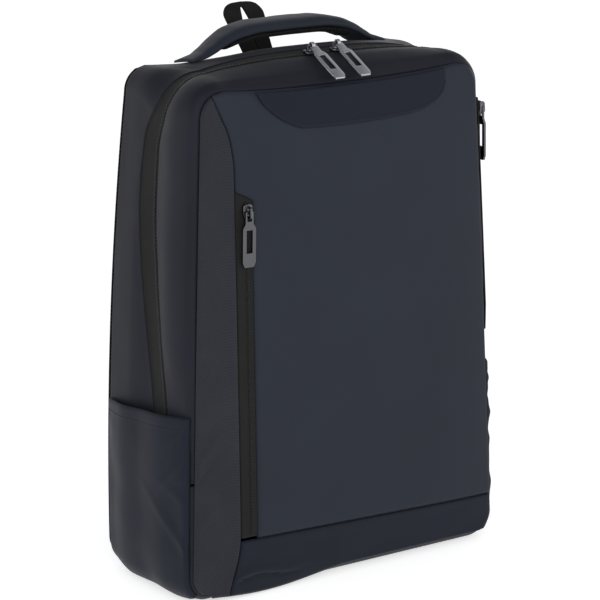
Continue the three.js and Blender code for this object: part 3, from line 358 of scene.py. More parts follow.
def node_material(name, color, rough, metal=0.0, sheen=0.0, sheen_rough=0.4, spec=0.5):
    material = bpy.data.materials.new(name)
    material.use_nodes = True
    shader = material.node_tree.nodes["Principled BSDF"]
    shader.inputs["Base Color"].default_value = (*color, 1)
    shader.inputs["Roughness"].default_value = rough
    shader.inputs["Metallic"].default_value = metal
    shader.inputs["Sheen Weight"].default_value = sheen
    shader.inputs["Sheen Roughness"].default_value = sheen_rough
    shader.inputs["Specular IOR Level"].default_value = spec
    return material, shader


class Nodes:
    """Short calls for the nodes of one material."""

    def __init__(self, material):
        self.tree = material.node_tree

    def new(self, kind, **settings):
        node = self.tree.nodes.new(kind)
        for key, value in settings.items():
            setattr(node, key, value)
        return node

    def link(self, source, target):
        self.tree.links.new(source, target)

    def math(self, operation, a, b=None):
        node = self.new("ShaderNodeMath", operation=operation)
        for socket, value in zip(node.inputs, (a, b)):
            if value is None:
                continue
            if isinstance(value, (int, float)):
                socket.default_value = value
            else:
                self.link(value, socket)
        return node.outputs[0]

    def uv(self):
        split = self.new("ShaderNodeSeparateXYZ")
        self.link(self.new("ShaderNodeUVMap", uv_map="cut").outputs[0], split.inputs[0])
        return split.outputs[0], split.outputs[1]

    def wave(self, value, pitch):
        return self.math("SINE", self.math("MULTIPLY", value, 2 * math.pi / (pitch * MM)))

    def noise(self, size, detail=3.0, rough=0.55, stretch=(1, 1, 1)):
        mapping = self.new("ShaderNodeMapping")
        mapping.inputs["Scale"].default_value = stretch
        self.link(self.new("ShaderNodeTexCoord").outputs["Object"], mapping.inputs[0])
        node = self.new("ShaderNodeTexNoise")
        node.inputs["Scale"].default_value = 1 / (size * MM)
        node.inputs["Detail"].default_value = detail
        node.inputs["Roughness"].default_value = rough
        self.link(mapping.outputs[0], node.inputs["Vector"])
        return node.outputs["Fac"]

    def ramp(self, value, low, high, start=0.3, end=0.7):
        node = self.new("ShaderNodeValToRGB")
        node.color_ramp.elements[0].color = (*low, 1)
        node.color_ramp.elements[1].color = (*high, 1)
        node.color_ramp.elements[0].position = start
        node.color_ramp.elements[1].position = end
        self.link(value, node.inputs[0])
        return node.outputs[0]

    def bump(self, height, distance, strength, shader, after=None):
        node = self.new("ShaderNodeBump")
        node.inputs["Distance"].default_value = distance * MM
        node.inputs["Strength"].default_value = strength
        self.link(height, node.inputs["Height"])
        if after is not None:
            self.link(after, node.inputs["Normal"])
        self.link(node.outputs[0], shader.inputs["Normal"])
        return node.outputs[0]


def cloth_material(name, color, rough, pitch=0.9, vary=0.10, sheen=0.03, spec=0.11, weave=0.12, depth=0.25):
    """Woven cloth: two crossed sets of threads, patchy sheen and a slow change of colour."""
    material, shader = node_material(name, color, rough, sheen=sheen, sheen_rough=0.45, spec=spec)
    n = Nodes(material)
    u, v = n.uv()
    threads = n.math("MULTIPLY", n.wave(u, pitch), n.wave(v, pitch))
    slub = n.noise(2.2, 2.0, 0.6, (1, 1, 0.25))
    height = n.math("ADD", threads, n.math("MULTIPLY", slub, 1.2))
    patch = n.noise(70, 3.0, 0.5)
    low = tuple(c * (1 - vary) for c in color)
    high = tuple(c * (1 + vary) for c in color)
    n.link(n.ramp(patch, low, high), shader.inputs["Base Color"])
    n.link(n.math("ADD", n.math("MULTIPLY", patch, 0.16), rough - 0.08), shader.inputs["Roughness"])
    soft = n.bump(n.noise(26, 3.0, 0.5), 0.7, 0.25, shader)
    n.bump(height, depth, weave, shader, soft)
    return material


def ribbed_material(name, color, rough, pitch, depth, strength, vary=0.12, across=True, sheen=0.03):
    """Cloth with raised ribs, across or along the cut."""
    material, shader = node_material(name, color, rough, sheen=sheen, sheen_rough=0.5, spec=0.12)
    n = Nodes(material)
    u, v = n.uv()
    rib = n.wave(v if across else u, pitch)
    cord = n.wave(u if across else v, pitch * 0.45)
    height = n.math("ADD", rib, n.math("MULTIPLY", cord, 0.22))
    # The colour is painted lighter on the ribs' crests and darker in their grooves, as painted shade, over
    # a slow random change of tone.
    rib_shade_and_tone = n.math("ADD", n.math("MULTIPLY", rib, 0.16), n.noise(40, 2.0))
    low = tuple(c * (1 - vary) for c in color)
    high = tuple(c * (1 + vary) for c in color)
    n.link(n.ramp(rib_shade_and_tone, low, high, 0.25, 0.75), shader.inputs["Base Color"])
    n.bump(height, depth, strength, shader)
    return material


def mesh_material(name, color, pitch):
    """Open spacer mesh: rows of round holes in a knitted face."""
    material, shader = node_material(name, color, 0.85, sheen=0.03, spec=0.08)
    n = Nodes(material)
    u, v = n.uv()
    a = n.wave(u, pitch)
    b = n.wave(n.math("ADD", n.math("MULTIPLY", u, 0.5), n.math("MULTIPLY", v, 0.87)), pitch)
    c = n.wave(n.math("ADD", n.math("MULTIPLY", u, -0.5), n.math("MULTIPLY", v, 0.87)), pitch)
    lattice = n.math("MULTIPLY", n.math("ADD", n.math("ADD", a, b), c), 0.33)
    # The holes are painted dark, as painted shade inside them, and the knitted face between them lighter.
    hole_shade = tuple(x * 0.25 for x in color)
    light = tuple(x * 1.5 for x in color)
    n.link(n.ramp(lattice, light, hole_shade, 0.1, 0.55), shader.inputs["Base Color"])
    n.bump(n.math("MULTIPLY", lattice, -1.0), 0.8, 0.8, shader)
    return material


def metal_material(name, color, rough):
    material, shader = node_material(name, color, rough, metal=1.0)
    n = Nodes(material)
    grain = n.noise(3.0, 4.0, 0.6, (1, 1, 0.3))
    n.link(n.math("ADD", n.math("MULTIPLY", grain, 0.18), rough - 0.09), shader.inputs["Roughness"])
    n.bump(grain, 0.05, 0.1, shader)
    return material


def plastic_material(name, color, rough):
    material, shader = node_material(name, color, rough, spec=0.35)
    n = Nodes(material)
    n.bump(n.noise(0.8, 3.0, 0.6), 0.08, 0.25, shader)
    return material


SHELL = cloth_material("shell_cloth", (0.0160, 0.0198, 0.0290), 0.50, vary=0.06)
# Darker copy of the shell cloth for the side pockets and the bottom band of the front: painted shade.
SHADED_SHELL = cloth_material("shaded_shell_cloth", (0.0085, 0.0110, 0.0185), 0.52, vary=0.08)
# Cloth of the gussets and the base, kept darker than the shell cloth: painted shade on the sides, the top
# and the base.
SHADED_SIDE = cloth_material("shaded_side_cloth", (0.0105, 0.0110, 0.0170), 0.50, vary=0.12)
PATCH = cloth_material("patch_cloth", (0.0058, 0.0080, 0.0160), 0.42, pitch=0.5, vary=0.05, weave=0.05)
RIBBED = ribbed_material("ribbed_cloth", (0.0190, 0.0205, 0.0270), 0.60, 2.4, 0.35, 0.4)
TAPE = ribbed_material("zip_tape", (0.0125, 0.0125, 0.0120), 0.75, 1.1, 0.30, 0.5)
COIL = plastic_material("zip_coil", (0.0070, 0.0070, 0.0065), 0.36)
MESH = mesh_material("spacer_mesh", (0.0100, 0.0100, 0.0108), 3.0)
WEBBING = ribbed_material("webbing", (0.0085, 0.0085, 0.0085), 0.80, 1.5, 0.35, 0.6, across=False)
THREAD = plastic_material("thread", (0.0080, 0.0085, 0.0110), 0.60)
DARK_METAL = metal_material("slider_metal", (0.10, 0.10, 0.11), 0.20)
PULL_METAL = metal_material("pull_metal", (0.42, 0.42, 0.44), 0.22)
PLASTIC = plastic_material("black_plastic", (0.0060, 0.0060, 0.0065), 0.40)


# Meshes

def new_mesh(name, verts, quads, uvs, material):
    """Object from points in millimetres and four-sided faces; uvs are lengths on the cloth, in metres."""
    quads = np.asarray(quads, np.int32)
    mesh = bpy.data.meshes.new(name)
    mesh.vertices.add(len(verts))
    mesh.vertices.foreach_set("co", (np.asarray(verts, np.float32) * MM).ravel())
    mesh.loops.add(quads.size)
    mesh.loops.foreach_set("vertex_index", quads.ravel())
    mesh.polygons.add(len(quads))
    mesh.polygons.foreach_set("loop_start", np.arange(0, quads.size, 4, dtype=np.int32))
    mesh.polygons.foreach_set("use_smooth", np.full(len(quads), True))
    mesh.update(calc_edges=True)
    mesh.validate()
    layer = mesh.uv_layers.new(name="cut")
    layer.data.foreach_set("uv", (np.asarray(uvs, np.float32)[quads.ravel()] * MM).ravel())
    mesh.materials.append(material)
    obj = bpy.data.objects.new(name, mesh)
    bpy.context.scene.collection.objects.link(obj)
    return obj


def keep(obj, nodes=(), body="bag"):
    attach(obj, body)
    if nodes:
        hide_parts(*nodes)
    return obj


def volume(verts, quads):
    """Six times the volume of a closed mesh; below zero when its faces look inward."""
    a, b, c, d = (verts[quads[:, k]] for k in range(4))
    return np.sum(a * np.cross(b, c)) + np.sum(a * np.cross(c, d))


def outward(verts, quads):
    return quads if volume(verts, quads) > 0 else quads[:, ::-1]


def grid_quads(rows, cols, start=0, wrap=False):
    i = np.arange(rows - 1)[:, None]
    j = np.arange(cols if wrap else cols - 1)[None, :]
    k = (j + 1) % cols
    corners = [i * cols + j, (i + 1) * cols + j, (i + 1) * cols + k, i * cols + k]
    return (start + np.stack(corners, -1)).reshape(-1, 4)


def roll_drop(distance, radius):
    """How far a rounded edge has dropped at a distance from the edge."""
    if radius <= 0:
        return 0 * distance
    left = np.clip(radius - distance, 0, radius)
    return radius - np.sqrt(radius ** 2 - left ** 2)


def cloth(name, points, normals, wall, material, roll=(2, 2, 2, 2), relief=None):
    """Closed cloth over a grid of points, with its four edges rolled in and a relief on its face.
    roll is for the first row, last row, first column and last column."""
    down = arc(points, 0)
    over = arc(points, 1)
    edges = (down, down[-1:] - down, over, over[:, -1:] - over)
    drop = np.zeros(points.shape[:2])
    for distance, radius in zip(edges, roll):
        drop = np.maximum(drop, roll_drop(distance, radius))
    rise = relief(points, edges) if relief is not None else 0.0
    lift = np.maximum(rise - np.minimum(drop, wall - 0.3), 0.3 - wall)
    outer = points + normals * lift[..., None]
    inner = points - normals * wall
    rows, cols = points.shape[:2]
    n = rows * cols
    verts = np.concatenate([outer.reshape(-1, 3), inner.reshape(-1, 3)])
    i, j = np.arange(rows - 1), np.arange(cols - 1)

    def rim(a, b, flip):
        quad = np.stack([a, b, b + n, a + n], -1)
        return quad[:, ::-1] if flip else quad

    quads = np.concatenate([
        grid_quads(rows, cols),
        grid_quads(rows, cols, n)[:, ::-1],
        rim(i * cols, (i + 1) * cols, True),
        rim(i * cols + cols - 1, (i + 1) * cols + cols - 1, False),
        rim(j, j + 1, False),
        rim((rows - 1) * cols + j, (rows - 1) * cols + j + 1, True),
    ])
    uv = np.stack([over + 0 * down, down + 0 * over], -1).reshape(-1, 2)
    return new_mesh(name, verts, outward(verts, quads), np.concatenate([uv, uv]), material), outer


def tube(name, rings, material):
    """Closed body through a row of rings."""
    rings = np.asarray(rings, float)
    rows, cols = rings.shape[:2]
    verts = np.concatenate([rings.reshape(-1, 3), rings[0].mean(0)[None], rings[-1].mean(0)[None]])
    n = rows * cols
    j = np.arange(0, cols, 2)

    def cap(centre, base):
        corners = [np.full_like(j, centre), base + j, base + (j + 1) % cols, base + (j + 2) % cols]
        return np.stack(corners, -1)

    far_cap = cap(n + 1, (rows - 1) * cols)[:, ::-1]
    quads = np.concatenate([grid_quads(rows, cols, wrap=True), cap(n, 0), far_cap])
    closed = np.concatenate([rings, rings[:, :1]], 1)
    over = arc(closed, 1)[:, :-1]
    down = arc(rings, 0)
    uv = np.stack([over, down], -1).reshape(-1, 2)
    uv = np.concatenate([uv, [[0, 0], [0, down[-1].mean()]]])
    return new_mesh(name, verts, outward(verts, quads), uv, material)


def capsule(length, radius):
    """Small rounded bar along X, as rings from end to end."""
    half = length / 2
    stops = [(-half, 0.35), (-half + radius * 0.45, 0.85), (-half + radius * 1.1, 1.0),
             (half - radius * 1.1, 1.0), (half - radius * 0.45, 0.85), (half, 0.35)]
    turn = np.arange(BAR_SIDES) * 2 * math.pi / BAR_SIDES
    rings = np.array([[(x, radius * s * math.cos(t), radius * s * math.sin(t)) for t in turn]
                      for x, s in stops])
    verts = rings.reshape(-1, 3)
    quads = grid_quads(len(stops), BAR_SIDES, wrap=True)
    first = [[0, 1, 2, 3], [0, 3, 4, 5]]
    last = (len(stops) - 1) * BAR_SIDES
    return verts, np.concatenate([quads, first, [[last + k for k in q[::-1]] for q in first]])


def copies(name, shape, at, ax, ay, az, material):
    """One mesh of many copies of a small shape, each at its place with its own three axes."""
    verts, quads = shape
    n = len(at)
    axes = np.stack([ax, ay, az], 1)
    placed = np.einsum("vk,nkc->nvc", verts, axes) + at[:, None, :]
    faces = quads[None] + (np.arange(n) * len(verts))[:, None, None]
    faces = faces.reshape(-1, 4)
    placed = placed.reshape(-1, 3)
    if (volume(verts, quads) < 0) != (np.linalg.det(axes[0]) < 0):
        faces = faces[:, ::-1]
    return new_mesh(name, placed, faces, placed[:, :2], material)


def along_row(path, normals, pitch, reach):
    """Evenly spaced places along a path on the cloth, each with three axes."""
    s = arc(path)
    count = max(2, int(s[-1] / pitch))
    at = (np.arange(count) + 0.5) * s[-1] / count

    def between(rows, shift=0.0):
        return np.stack([np.interp(at + shift, s, rows[:, k]) for k in range(3)], -1)

    along = unit(between(path, reach) - between(path, -reach))
    side = unit(np.cross(unit(between(normals)), along))
    return between(path), along, side, np.cross(along, side)


def stitch_line(name, path, normals):
    place, along, side, out = along_row(path, normals, STITCH_PITCH, STITCH_REACH)
    bar = capsule(STITCH_LENGTH, STITCH_RADIUS)
    place = place + out * STITCH_RADIUS * STITCH_RISE
    keep(copies(name, bar, place, along, side, out, THREAD))


# Front gusset, rear gusset and main zip

def zip_middle(along):
    return follow(ZIP_ROUTE, np.abs(along))


def zip_rear(along):
    share = np.clip((np.abs(along) - TOP_END) / (TAPE_WIDE_FROM - TOP_END), 0, 1)
    middle = zip_middle(along)
    return middle - lerp(TAPE_TOP, TAPE_SIDE, share) / depth_at(skin(along, middle)[..., 2])


def zip_front(along):
    return zip_middle(along) + COIL_WIDTH / 2 / CROWN_DEPTH


GAP_SHARE = SEAM_GAP / CROWN_DEPTH
ARCH = even_arc(lambda t: skin(t, 0.5), -GUSSET_END, GUSSET_END, 2.2)


def along_at(z, across=0.5):
    a = np.linspace(TOP_CORNER_END, SIDE_END, 2000)
    return float(np.interp(-z, -skin(a, across)[:, 2], a))


POCKET_MOUTH = along_at(POCKET_HEIGHT)


def puff(along, q):
    rise = FRONT_PUFF * np.maximum(0, np.sin(math.pi * np.clip(q, 0, 1))) ** PUFF_ROUND
    return rise * np.clip((POCKET_MOUTH - np.abs(along)) / PUFF_FADE, 0, 1) \
        * np.clip((np.abs(along) - TOP_END) / PUFF_FADE, 0, 1)


def band(list_, start, end, steps, lift=None):
    """Grid of the skin between two depth shares, with its normals."""
    q = np.linspace(0, 1, steps + 1)[None, :]
    along = list_[:, None] + 0 * q
    across = lerp(start(list_)[:, None], end(list_)[:, None], q)
    normal = skin_normal(along, across)
    points = skin(along, across)
    if lift is not None:
        points = points + normal * lift(along, q)[..., None]
    return points, normal


def pucker(distance, along, reach, size, height, seed):
    """Small folds that run away from a seam."""
    wave = noise(np.stack([along, distance * 0.25], -1), size, seed)
    strong = 0.55 + 0.45 * noise(np.stack([along], -1), size * 7, seed + 5)
    return height * wave * strong * np.exp(-distance / reach)


def side_relief(points, edges):
    slow = 1.2 * noise(points, 95, 3) + 0.35 * noise(points, 38, 4)
    inset = smooth(np.minimum(edges[2], edges[3]) / 14)
    front = pucker(edges[3], edges[0], 5, 6.5, 0.35, 11)
    rear = pucker(edges[2], edges[0], 6, 8, 0.35, 12)
    return slow * inset + front + rear


def front_relief(points, edges):
    slow = 1.3 * noise(points, 60, 21) + 0.5 * noise(points, 26, 22)
    inset = smooth(np.minimum(edges[2], edges[3]) / 10)
    fold = pucker(edges[3], edges[0], 10, 12, 1.5, 23)
    zip_side = pucker(edges[2], edges[0], 5, 7, 0.35, 24)
    return slow * inset + fold + zip_side


# Both gussets here and the base below take the side cloth, darkened as painted shade.
points, normals = band(ARCH, fixed(0.0), lambda a: zip_rear(a) - GAP_SHARE, 34)
obj, rear_face = cloth("rear_gusset_cloth", points, normals, WALL, SHADED_SIDE, roll=(0, 0, 2.2, 1.6),
                       relief=side_relief)
keep(obj, ["rear_gusset"])
stitch_line("rear_gusset_stitches", rear_face[:, -2], normals[:, -2])

points, normals = band(ARCH, lambda a: zip_front(a) + GAP_SHARE, fixed(1.0), 26, puff)
obj, front_face = cloth("front_gusset_cloth", points, normals, WALL, SHADED_SIDE, roll=(0, 0, 1.6, 2.4),
                        relief=front_relief)
keep(obj, ["front_gusset"])
stitch_line("front_gusset_stitches", front_face[:, 1], normals[:, 1])

# The tape is tucked under both gussets, so that no light comes through the seams
points, normals = band(ARCH, lambda a: zip_rear(a) - TAPE_TUCK, lambda a: zip_front(a) + TAPE_TUCK, 14,
                       lambda a, q: COIL_HEIGHT - TAPE_INSET + 0 * a * q)
obj, _ = cloth("main_zip_cloth", points, normals, TAPE_WALL, TAPE, roll=(0, 0, 0, 0))
keep(obj, ["main_zip_tape"])


def coil(name, path, normals, width, height, pitch):
    """Interlocked zip teeth along a path: short rounded bars from both sides."""
    place, along, side, out = along_row(path, normals, pitch, TOOTH_REACH)
    way = np.where(np.arange(len(place)) % 2, 1.0, -1.0)[:, None]
    bar = capsule(width * TOOTH_LENGTH, height / 2)
    teeth = place + side * way * width * TOOTH_OFFSET + out * height * TOOTH_RISE
    keep(copies(name, bar, teeth, side, along, -out, COIL))


coil_line = zip_middle(ARCH)
normals = skin_normal(ARCH, coil_line)
path = skin(ARCH, coil_line) + normals * (2 * COIL_HEIGHT - TAPE_INSET - COIL_SINK)
coil("main_zip_coil", path, normals, *MAIN_COIL)

# Base and side pockets

# The base takes the darkened side cloth too: painted shade.
base_list = even_arc(lambda t: skin(t, 0.5), GUSSET_END + 0.002, BASE_END, 2.6)
base_list = np.concatenate([-base_list, base_list[::-1]])
points, normals = band(base_list, fixed(0.0), fixed(1.0), 44)
obj, _ = cloth("base_cloth", points, normals, WALL, SHADED_SIDE, roll=(0, 0, 2, 2))
keep(obj, ["base_gusset"])


# down, slope, reach, height, width of each slanted fold that starts at a side seam, in mm
POCKET_FOLDS = [
    (14, 0.75, 26, 1.3, 3.2),
    (30, 0.95, 34, -1.1, 3.6),
    (46, 0.60, 30, 1.5, 4.2),
    (72, -0.5, 26, 1.1, 5.0),
    (112, -0.9, 42, 1.5, 6.5),
]
STRIP_FOLDS = [(124, 0.80, 22, 1.2, 5.0), (108, 0.80, 24, -1.0, 4.0), (70, 0.50, 22, 0.9, 6.0)]


def slanted_folds(table, down, inward):
    total = 0 * down
    for at, slope, reach, height, width in table:
        line = (down - at - slope * inward) / width
        total = total + height * np.exp(-line ** 2) * np.exp(-(inward / reach) ** 2) * smooth(inward / 3)
    return total


def pocket_relief(points, edges):
    slow = 1.8 * noise(points, 55, 31) + 0.7 * noise(points, 24, 32)
    inset = smooth(np.minimum(np.minimum(edges[2], edges[3]), edges[1]) / 16) * smooth(edges[0] / 20)
    hem = 0.5 * (1 - smooth((edges[0] - 9) / 1.6))
    front = pucker(edges[3], edges[0], 14, 13, 1.8, 33)
    rear = pucker(edges[2], edges[0], 8, 9, 0.6, 34)
    folds = slanted_folds(POCKET_FOLDS, edges[0], edges[3])
    return slow * inset + hem + (front + folds) * smooth(edges[0] / 16) + rear


for word, side in (("left", -1), ("right", 1)):
    rows = even_arc(lambda t: skin(t, 0.5), POCKET_MOUTH, POCKET_FOOT, 2.0)
    cols = np.linspace(POCKET_EDGE, 1 - POCKET_EDGE, 62)
    along, across = np.meshgrid(rows, cols, indexing="ij")
    sag = (along - POCKET_MOUTH) / (POCKET_FOOT - POCKET_MOUTH)
    mouths = np.array([along_at(POCKET_HEIGHT + MOUTH_TILT * (c - 0.5), c) for c in cols])
    along = along + (mouths[None] - POCKET_MOUTH) * np.maximum(0, 1 - sag / MOUTH_LEVEL)
    bulge = POCKET_BULGE * np.sin(math.pi * (across - POCKET_EDGE) / (1 - 2 * POCKET_EDGE)) * (1 - sag ** 4)
    normals = skin_normal(side * along, across)
    points = skin(side * along, across) + normals * (POCKET_SEAT + bulge + POCKET_WALL)[..., None]
    # The pockets take the darker copy of the shell cloth: painted shade.
    obj, face = cloth(f"side_pocket_cloth_{word}", points, normals, POCKET_WALL, SHADED_SHELL,
                      roll=(1.0, 1.2, 1.6, 1.6), relief=pocket_relief)
    keep(obj, [f"side_pocket_{word}"])
    stitch_line(f"side_pocket_hem_{word}", face[5], normals[5])

# Front

FRONT = outline(np.float64(1.0))
REAR = outline(np.float64(0.0))
HALF_GAP = SEAM_GAP / 2


def swell(d):
    return 1 - np.exp(-np.maximum(0, d) / CROWN_RUN)


def front_crown(x, z):
    sides = swell(half_width(FRONT, z) - np.abs(x))
    return FRONT_CROWN * sides * swell(FRONT["crown"] - z) * swell(z - FRONT["base"])


def low_sag(x, z):
    """How far the lower edge of the front hangs down."""
    reach = np.clip(np.abs(x - SAG_MIDDLE) / SAG_REACH, 0, 1)
    return LOW_SAG * (1 - reach ** 2) ** 2 * np.clip(1 - (z - FRONT["base"]) / SAG_FADE, 0, 1)


def strip_seam(z):
    return -STRIP_SEAM * follow(STRIP_CURVE, z / BODY_HEIGHT)


def foot_seam(x):
    return FOOT_SEAM - FOOT_SEAM_FALL * x / (BODY_WIDTH / 2)


ZIP_RIGHT = float(strip_seam(POCKET_ZIP_TOP)) + POCKET_ZIP_WIDTH
strip_heights = np.linspace(FRONT["corner"] - FRONT["round"], FRONT["corner"], 3000)
strip_width = outline_half(FRONT, strip_heights) + strip_seam(strip_heights)
STRIP_TOP = float(strip_heights[np.argmax(strip_width <= STRIP_TIP)])


def face_grid(left, right, low, high, ps, qs, side, lift, drop=None):
    """Grid over the front (side -1) or the back (side 1), with its normals."""
    p, q = np.meshgrid(ps, qs)
    x = 0 * p
    z = lerp(low(x), high(x), q)
    for _ in range(8):
        x = lerp(left(z), right(z), p)
        z = lerp(low(x), high(x), q)
        if drop is not None:
            z = z - drop(x, z)

    def place(x, z):
        return np.stack([x, side * (depth_at(z) / 2 + SEAM_GAP + lift(x, z)), z], -1)
    step = 0.5
    over = place(x + step, z) - place(x - step, z)
    up = place(x, z + step) - place(x, z - step)
    return place(x, z), unit(np.cross(over, up)) * -side


def panel_relief(points, edges):
    slow = 0.55 * noise(points * (1, 0, 1), 130, 41) + 0.12 * noise(points * (1, 0, 1), 45, 42)
    inset = smooth(np.minimum(np.minimum(edges[2], edges[3]), np.minimum(edges[0], edges[1])) / 22)
    top = pucker(edges[1], edges[2], 8, 11, 0.3, 43)
    right = pucker(edges[3], edges[0], 5, 8, 0.22, 44)
    return slow * inset + top + right


def on_front(x, z):
    return front_crown(x, z) + WALL


def frontal(ps, qs, left, right, low, high, lift=on_front):
    return face_grid(left, right, low, high, ps, qs, -1, lift, low_sag)


def front_top(x):
    return top_line(FRONT, x)


FOLD_HEIGHT = 15.0
FOLD_END = -38.0
base_line = fixed(FRONT["base"])


def panel_left(z):
    bare = np.maximum(strip_seam(z) + HALF_GAP, -outline_half(FRONT, z))
    share = np.clip((z - POCKET_ZIP_TOP - HALF_GAP) / POCKET_ZIP_SLOPE, 0, 1)
    return lerp(ZIP_RIGHT + HALF_GAP, bare, share)


points, normals = frontal(np.linspace(0, 1, 118), np.linspace(0, 1, 158), panel_left,
                          lambda z: outline_half(FRONT, z), lambda x: foot_seam(x) + HALF_GAP, front_top)
obj, _ = cloth("front_panel_cloth", points, normals, WALL, SHELL, roll=(1.8, 2.4, 1.4, 2.4),
               relief=panel_relief)
keep(obj, ["front_panel"])


def strip_relief(points, edges):
    slow = 0.9 * noise(points * (1.4, 0, 1), 70, 51) + 0.4 * noise(points * (1.6, 0, 1), 28, 52)
    inset = smooth(np.minimum(edges[2], edges[3]) / 9)
    outer = pucker(edges[2], edges[0], 7, 12, 0.5, 53)
    return slow * inset + outer + slanted_folds(STRIP_FOLDS, edges[0], edges[2])


points, normals = frontal(np.linspace(0, 1, 24), np.linspace(0, 1, 190), lambda z: -outline_half(FRONT, z),
                          lambda z: strip_seam(z) - HALF_GAP, base_line, fixed(STRIP_TOP))
obj, _ = cloth("front_side_strip_cloth", points, normals, WALL, RIBBED, roll=(1.8, 0.6, 2.4, 1.6),
               relief=strip_relief)
keep(obj, ["front_side_strip"])


def bottom_relief(points, edges):
    x, z = points[..., 0], points[..., 2]
    slow = 1.0 * noise(points * (0.7, 0, 1.6), 50, 61) + 0.4 * noise(points * (1, 0, 1.5), 20, 62)
    inset = smooth(np.minimum(edges[0], edges[1]) / 12)
    above = z - (FOLD_HEIGHT + 2.2 * np.sin((x + 110) / 10.5))
    strong = smooth((x + 118) / 8) * smooth((FOLD_END - x) / 40)
    crease = -2.4 * np.exp(-(above / 1.5) ** 2) + 2.0 * np.exp(-((above - 5) / 4.5) ** 2)
    return slow * inset + crease * strong


# The bottom band takes the darker copy of the shell cloth: painted shade.
points, normals = frontal(np.linspace(0, 1, 120), np.linspace(0, 1, 22), lambda z: strip_seam(z) + HALF_GAP,
                          lambda z: outline_half(FRONT, z), base_line, lambda x: foot_seam(x) - HALF_GAP)
obj, _ = cloth("front_bottom_cloth", points, normals, WALL, SHADED_SHELL, roll=(2.0, 1.0, 1.4, 2.4),
               relief=bottom_relief)
keep(obj, ["front_bottom_band"])

# Front pocket zip


def zip_high(x):
    return POCKET_ZIP_TOP + POCKET_ZIP_SLOPE * (ZIP_RIGHT - x) / POCKET_ZIP_WIDTH


points, normals = frontal(np.linspace(0, 1, 13), np.linspace(0, 1, 120), lambda z: strip_seam(z) + HALF_GAP,
                          fixed(ZIP_RIGHT - HALF_GAP), fixed(POCKET_ZIP_FOOT), zip_high,
                          lambda x, z: on_front(x, z) - TAPE_INSET / 2)
obj, _ = cloth("pocket_zip_cloth", points, normals, WALL, TAPE, roll=(0, 0, 0.4, 0.4))
keep(obj, ["pocket_zip_tape"])


def front_line(x, z, lift):
    place, normal = face_grid(fixed(x), fixed(x), fixed(z[0]), fixed(z[1]), np.array([0.5]),
                              np.linspace(0, 1, 120), -1, lambda a, b: on_front(a, b) + lift)
    return place[:, 0], normal[:, 0]


path, normal = front_line(ZIP_RIGHT - POCKET_COIL, (POCKET_ZIP_FOOT + 1, POCKET_ZIP_TOP),
                          FINE_COIL_LIFT - TAPE_INSET / 2)
coil("pocket_zip_coil", path, normal, *FINE_COIL)

# Patch along the top of the front


def patch_low(x):
    return front_top(x) - PATCH_DEPTH * follow(PATCH_CURVE, (x + PATCH_LEFT) / (PATCH_LEFT + PATCH_RIGHT))


eased = (1 - np.cos(math.pi * np.linspace(0, 1, 110))) / 2
points, normals = frontal(eased, np.linspace(0, 1, 24), fixed(-PATCH_LEFT), fixed(PATCH_RIGHT),
                          patch_low, lambda x: front_top(x) - HALF_GAP,
                          lambda x, z: on_front(x, z) + SEAM_GAP + PATCH_WALL)
obj, patch_face = cloth("front_patch_cloth", points, normals, PATCH_WALL, PATCH, roll=(1.2, 1.6, 0.8, 0.8))
keep(obj, ["front_top_patch"])
stitch_line("front_patch_stitches", patch_face[2], normals[2])

# Back panel


def ramp(d):
    return smooth(d / PAD_EDGE)


def pads(x, z):
    return FOAM_PAD * ramp(np.abs(x) - AIR_CHANNEL / 2) * ramp(half_width(REAR, z) - PAD_SIDE - np.abs(x)) \
        * ramp(z - PAD_LOW) * ramp(PAD_HIGH - z)


points, normals = face_grid(lambda z: -outline_half(REAR, z), lambda z: outline_half(REAR, z),
                            fixed(REAR["base"]), lambda x: top_line(REAR, x), np.linspace(0, 1, 120),
                            np.linspace(0, 1, 160), 1, lambda x, z: FOAM_BASE + pads(x, z))
obj, _ = cloth("back_panel_cloth", points, normals, FOAM_BASE, MESH, roll=(2.4, 2.4, 2.4, 2.4))
keep(obj, ["back_panel"])

# Carry handle


def top_skin(x, y):
    z = BODY_HEIGHT + 0 * x
    for _ in range(6):
        z = top_line(outline(0.5 - y / depth_at(z)), x)
    return z


def handle_bed(x, y):
    rise = follow(HANDLE_CURVE, np.abs(x) / HANDLE_HALF)
    return lerp(top_skin(x, y), top_skin(x, HANDLE_BACK + 0 * y), rise) + HANDLE_SEAT + HANDLE_RISE * rise


def round_section(corners, count):
    """Smooth closed section through a few corner points, from a Catmull-Rom curve."""
    corners = np.asarray(corners, float)
    n = len(corners)
    t = np.arange(count) * n / count
    i = t.astype(int)
    f = (t - i)[:, None]
    a, b, c, d = (corners[(i + k) % n] for k in (-1, 0, 1, 2))
    bend = (2 * a - 5 * b + 4 * c - d) * f ** 2
    twist = (3 * b - a - 3 * c + d) * f ** 3
    return 0.5 * (2 * b + (c - a) * f + bend + twist)


COVER_CORNERS = [
    (-0.98, 0.08), (-1.00, 0.45), (-0.80, 0.84), (-0.38, 1.00), (0.38, 1.00),
    (0.80, 0.84), (1.00, 0.45), (0.98, 0.08), (0.50, 0.00), (-0.50, 0.00),
]


def handle_grid(section, end, count):
    """Shares of the handle's half length out from its middle, and x and y of a section at each."""
    stations = np.linspace(-end, end, count)
    x = stations[:, None] * HANDLE_HALF + 0 * section[None, :, 0]
    wide = follow(HANDLE_CURVE, np.abs(stations), 3)[:, None]
    return np.abs(stations), x, HANDLE_BACK + section[None, :, 0] * HANDLE_WIDTH / 2 * wide


cover = round_section(COVER_CORNERS, 48)
out, x, y = handle_grid(cover, 1, 150)
thick = follow(HANDLE_CURVE, out, 2)[:, None]
z = handle_bed(x, y) + cover[None, :, 1] * HANDLE_THICK * thick
rings = np.stack([x, y, z], -1)
wrinkle = 0.45 * noise(rings, 20, 71) + 0.25 * noise(rings, 9, 72)
up = smooth(cover[None, :, 1] / 0.5)
rings[..., 2] += wrinkle * up
obj = tube("carry_handle_cloth", rings, SHELL)
keep(obj, ["carry_handle"])

